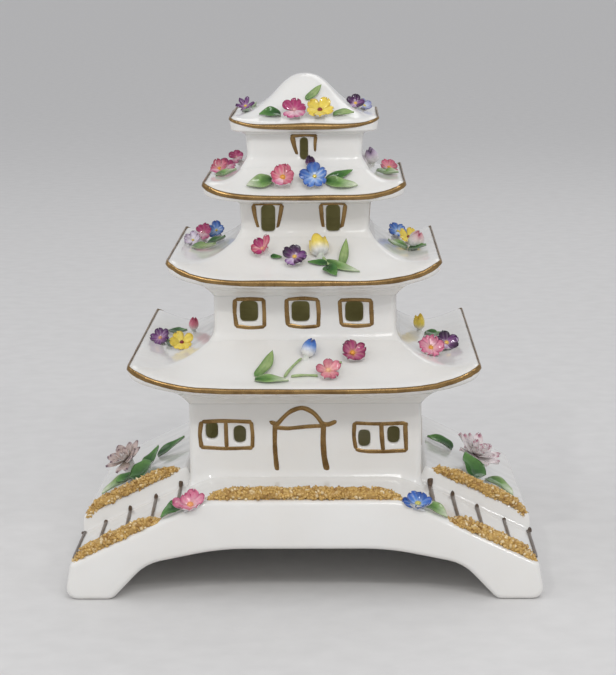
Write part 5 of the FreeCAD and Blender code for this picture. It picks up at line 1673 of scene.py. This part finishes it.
def join_meshes(piece, others):
    """Adds the other pieces' meshes to the first one, keeping their colours."""
    work = bmesh.new()
    work.from_mesh(piece.data)
    for other in others:
        work.from_mesh(other.data)
        bpy.data.objects.remove(other)
    for face in work.faces:
        face.material_index = 0
        face.smooth = True
    work.to_mesh(piece.data)
    work.free()


# Sizes and colours that a user may change

def colour_property(name, description, value):
    """A colour setting."""
    return bpy.props.FloatVectorProperty(name=name, description=description, default=value, subtype="COLOR",
                                         size=3, min=0.0, max=1.0)


def number_property(name, description, value, low, high=1e6, **more):
    """A number setting."""
    return bpy.props.FloatProperty(name=name, description=description, default=value, min=low, max=high,
                                   **more)


class BurnerHouse(bpy.types.PropertyGroup):
    """The white china of the bridge, walls and roofs."""

    china: colour_property("China", "Colour of the glazed china", (0.80, 0.79, 0.765))
    china_warm: colour_property("Warm china", "Colour where the glaze is thicker", (0.775, 0.755, 0.72))
    gloss: number_property("Glaze roughness", "Roughness of the glaze", 0.12, 0.0, 1.0, subtype="FACTOR")
    edge_round: number_property("Bridge edge", "Rounding of the bridge's edges in mm", 1.5, 0.3, 1.8)
    joint_spread: number_property("Joint spread", "Slip at the foot of each wall, as a share", 0.9, 0.0, 2.0)


class BurnerTrim(bpy.types.PropertyGroup):
    """Gilt and brown brush lines."""

    gilt: colour_property("Gilt", "Colour of thick gilt", (0.30, 0.185, 0.07))
    gilt_thin: colour_property("Thin gilt", "Colour where the gilt is thin", (0.165, 0.095, 0.033))
    step: colour_property("Step lines", "Colour of the brown lines on the steps", (0.060, 0.036, 0.020))
    lip_width: number_property("Lip line", "Width of the gilt line on a lip in mm", 1.5, 0.2, 3.0)
    step_width: number_property("Step line", "Width of the brown step lines, as a share", 1.35, 0.2, 3.0)


class BurnerGrit(bpy.types.PropertyGroup):
    """The crust of china crumbs."""

    dark: colour_property("Dark grit", "Colour of the deepest crumbs", (0.34, 0.18, 0.045))
    ochre: colour_property("Ochre grit", "Colour of most crumbs", (0.62, 0.40, 0.125))
    pale: colour_property("Pale grit", "Colour of the brightest crumbs", (0.88, 0.76, 0.52))
    crumb: number_property("Crumb size", "Radius of a crumb in mm", 0.66, 0.1, 1.5)
    density: number_property("Crumbs", "Crumbs for each square mm", 1.5, 0.1, 8.0)


class BurnerFlowers(bpy.types.PropertyGroup):
    """Hand-made petals."""

    petal_thickness: number_property("Petal thickness", "Thickness of a petal in mm", 0.62, 0.1, 1.5)
    seed: bpy.props.IntProperty(name="Seed", description="Seed of the unevenness of hand work", default=11,
                                min=0)


class BurnerStage(bpy.types.PropertyGroup):
    """Camera and light."""

    key_power: number_property("Key light", "Power of the main lamp", 2.8, 0.0, unit="POWER")
    ambient: number_property("Ambient", "Strength of the even light", 0.62, 0.0, 2.0)
    focal_pixels: number_property("Focal length", "Focal length in image pixels", 2096.0, 100.0,
                                  subtype="PIXEL")


# Voxels of the walls in mm
VOXELS = {"storey_1_walls": 0.5, "storey_2_walls": 0.45, "storey_3_walls": 0.35, "storey_4_walls": 0.3}


class BURNER_OT_house(bpy.types.Operator):
    """Makes the bridge, the four storeys and the four roofs"""

    bl_idname = "burner.house"
    bl_label = "Bridge, storeys and roofs"

    def execute(self, context):
        scene = context.scene
        prepare_materials(scene.burner_house, scene.burner_trim, scene.burner_grit)
        settle(bridge_piece(scene.burner_house), ["bridge"])
        for node, voxel in VOXELS.items():
            settle(walls_piece(node, voxel, scene.burner_house.joint_spread), [node])
        for node in ROOFS:
            piece = make_piece(node + "_china", roof_mesh(node), [MATERIALS["china"], MATERIALS["inside"]])
            settle(piece, [node])
        return {"FINISHED"}


class BURNER_OT_lines(bpy.types.Operator):
    """Paints the gilt lines and frames, and the brown lines on the steps"""

    bl_idname = "burner.lines"
    bl_label = "Gilt and brown lines"

    def execute(self, context):
        trim = context.scene.burner_trim
        for node in ROOFS:
            clay = Clay()
            lip_line(clay, node, trim.lip_width)
            settle(make_piece(node + "_gilt_line", clay, [MATERIALS["gilt"]]), [])
        for node, strokes in STROKES.items():
            clay = Clay()
            wall_lines(node, clay, strokes, (-90, 0, 90))
            if node == "storey_1_walls":
                wall_lines(node, clay, DOOR, (0,))
            settle(make_piece(node + "_gilt_frames", clay, [MATERIALS["gilt"]]), [])
        clay = Clay()
        step_strokes(clay, trim.step_width)
        settle(make_piece("bridge_step_lines", clay, [MATERIALS["step"]]), [])
        return {"FINISHED"}


class BURNER_OT_grit(bpy.types.Operator):
    """Lays the crusts of grit on the bridge's front edge and on the garden banks"""

    bl_idname = "burner.grit"
    bl_label = "Grit crusts"

    def execute(self, context):
        grit = context.scene.burner_grit
        tree, ids = crumb_tree(grit)
        for node, *run, width, height, seed in GRIT_STRIPS:
            path = strip_path(*run)
            if node == "grit_front_centre":
                path = [p + UP * (0.2 * math.cos(p.x / 18)) for p in path]
            crust_piece(node, path, width, height, tree, ids, seed)
        return {"FINISHED"}


# Where the seeds of the buds, leaves and stems start
BUD_SEED = 50
LEAF_SEED = 80
STEM_SEED = 120


class BURNER_OT_flowers(bpy.types.Operator):
    """Models the flowers, buds, leaves and stems"""

    bl_idname = "burner.flowers"
    bl_label = "Flowers and leaves"

    def execute(self, context):
        settings = context.scene.burner_flowers
        blooms = {}
        for k, (node, kind, *place, radius, height, azimuth, elevation, roll) in enumerate(FLOWERS):
            head = build_flower(kind, *seat(node, *place), radius, height, azimuth, elevation, roll,
                                settings.petal_thickness, settings.seed + k)
            blooms.setdefault(node, Clay()).join(head)
        for k, (node, paint, side, along, share, *shape) in enumerate(BUDS):
            bud = build_bud(paint, *seat(node, side, along, share), *shape, settings.seed + BUD_SEED + k)
            blooms.setdefault(node, Clay()).join(bud)
        for node, clay in blooms.items():
            settle(make_piece(node + "_petals", clay, [MATERIALS["petal"]]), [node])
        greens = {}
        leaves = [(node, side, *row) for node, side, rows in LEAVES for row in rows]
        for k, (node, side, along, share, *shape) in enumerate(leaves):
            lean = LEAF_LEAN.get(side, ROOF_LEAN)
            leaf = build_leaf(*seat(node, side, along, share), *shape, lean, settings.seed + LEAF_SEED + k)
            greens.setdefault(node, Clay()).join(leaf)
        for k, (node, side, along, share, *shape) in enumerate(STEMS):
            stem = build_stem(*seat(node, side, along, share), *shape, settings.seed + STEM_SEED + k)
            greens[node].join(stem)
        for node, clay in greens.items():
            settle(make_piece(node + "_enamel", clay, [MATERIALS["leaf"]]), [node])
        tree, ids = tier_tree()
        for row in FULL_FLOWERS:
            full_flower_piece(row, tree, ids)
        return {"FINISHED"}


class BURNER_OT_inside(bpy.types.Operator):
    """Finishes the loose dish and the pastille"""

    bl_idname = "burner.inside"
    bl_label = "Dish and pastille"

    def execute(self, context):
        for node, key in (("pastille_dish", "dish"), ("incense_pastille", "charcoal")):
            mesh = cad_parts[node].data
            mesh.materials.clear()
            mesh.materials.append(MATERIALS[key])
        return {"FINISHED"}


# Camera fitted to the photo: angles in degrees, place in mm, picture height in pixels
CAMERA_PITCH = 10.44
CAMERA_YAW = 1.07
CAMERA_ROLL = 0.41
CAMERA_PLACE = (11.79, -611.77, 174.70)
PICTURE_HEIGHT = 675

# Lamps: name, place and size in metres, share of the key light's power
LAMPS = (
    ("key_lamp", (0.2, -0.9, 0.8), 0.35, 1.0),
    ("side_lamp", (-0.75, -0.25, 0.55), 0.5, 0.35),
    ("back_lamp", (0.2, 0.7, 0.8), 0.5, 0.35),
    ("left_spark_lamp", (-0.35, -0.85, 0.75), 0.035, 0.38),
    ("right_spark_lamp", (0.55, -0.75, 0.6), 0.035, 0.3),
)
LAMP_AIM = (0, 0, 0.06)


def area_lamp(name, place, size, power):
    """Soft square lamp that looks at the burner. Lengths are in metres."""
    lamp = bpy.data.lights.new(name, "AREA")
    lamp.size = size
    lamp.energy = power
    piece = bpy.data.objects.new(name, lamp)
    piece.location = place
    piece.rotation_euler = (Vector(LAMP_AIM) - Vector(place)).to_track_quat("-Z", "Y").to_euler()
    bpy.context.scene.collection.objects.link(piece)


class BURNER_OT_stage(bpy.types.Operator):
    """Sets the floor, the lamps and the camera"""

    bl_idname = "burner.stage"
    bl_label = "Floor, light and camera"

    def execute(self, context):
        scene = context.scene
        stage = scene.burner_stage
        bpy.ops.mesh.primitive_plane_add(size=40.0, location=(0, 0, 0))
        floor = context.object
        floor.name = "floor"
        made = Finish("pale_floor", (0.70, 0.69, 0.68), 0.75)
        made.ramp(made.noise(120.0, 5.0), ((0.3, (0.68, 0.67, 0.66)), (0.7, (0.72, 0.71, 0.70))))
        floor.data.materials.append(made.material)
        world = bpy.data.worlds.new("even_light")
        world.use_nodes = True
        back = world.node_tree.nodes["Background"]
        back.inputs["Color"].default_value = (0.96, 0.97, 1.0, 1)
        back.inputs["Strength"].default_value = stage.ambient
        scene.world = world
        for name, place, size, share in LAMPS:
            area_lamp(name, place, size, share * stage.key_power)
        camera = bpy.data.cameras.new("camera")
        camera.sensor_width = 36.0
        camera.lens = stage.focal_pixels / PICTURE_HEIGHT * camera.sensor_width
        camera.clip_start = 0.01
        camera.clip_end = 60.0
        eye_piece = bpy.data.objects.new("camera", camera)
        pitch, yaw, roll = [math.radians(a) for a in (CAMERA_PITCH, CAMERA_YAW, CAMERA_ROLL)]
        ahead = Vector((-math.sin(yaw) * math.cos(pitch), math.cos(yaw) * math.cos(pitch), -math.sin(pitch)))
        level = Vector((math.cos(yaw), math.sin(yaw), 0))
        over = level.cross(ahead)
        right = level * math.cos(roll) - over * math.sin(roll)
        up = level * math.sin(roll) + over * math.cos(roll)
        matrix = Matrix((right, up, -ahead)).transposed().to_4x4()
        matrix.translation = Vector(CAMERA_PLACE) * MM
        eye_piece.matrix_world = matrix
        scene.collection.objects.link(eye_piece)
        scene.camera = eye_piece
        scene.view_settings.view_transform = "Standard"
        return {"FINISHED"}


class BURNER_PT_panel(bpy.types.Panel):
    """Lists the steps of the burner"""

    bl_idname = "BURNER_PT_panel"
    bl_label = "Pagoda burner"
    bl_space_type = "VIEW_3D"
    bl_region_type = "UI"
    bl_category = "Burner"

    def draw(self, context):
        for group in GROUPS:
            box = self.layout.box()
            settings = getattr(context.scene, group)
            for name in settings.__annotations__:
                box.prop(settings, name)
        for step in STEPS:
            self.layout.operator(step.bl_idname)


GROUPS = {
    "burner_house": BurnerHouse,
    "burner_trim": BurnerTrim,
    "burner_grit": BurnerGrit,
    "burner_flowers": BurnerFlowers,
    "burner_stage": BurnerStage,
}
STEPS = (BURNER_OT_house, BURNER_OT_lines, BURNER_OT_grit, BURNER_OT_flowers, BURNER_OT_inside,
         BURNER_OT_stage)


def register():
    """Adds the settings, steps and panel."""
    for name, group in GROUPS.items():
        bpy.utils.register_class(group)
        setattr(bpy.types.Scene, name, bpy.props.PointerProperty(type=group))
    for step in STEPS:
        bpy.utils.register_class(step)
    bpy.utils.register_class(BURNER_PT_panel)


def unregister():
    """Removes the panel, steps and settings."""
    bpy.utils.unregister_class(BURNER_PT_panel)
    for step in reversed(STEPS):
        bpy.utils.unregister_class(step)
    for name, group in GROUPS.items():
        delattr(bpy.types.Scene, name)
        bpy.utils.unregister_class(group)


def main():
    """Builds the whole burner."""
    register()
    bpy.ops.burner.house()
    bpy.ops.burner.lines()
    bpy.ops.burner.grit()
    bpy.ops.burner.flowers()
    bpy.ops.burner.inside()
    bpy.ops.burner.stage()


if __name__ == "__main__":
    main()
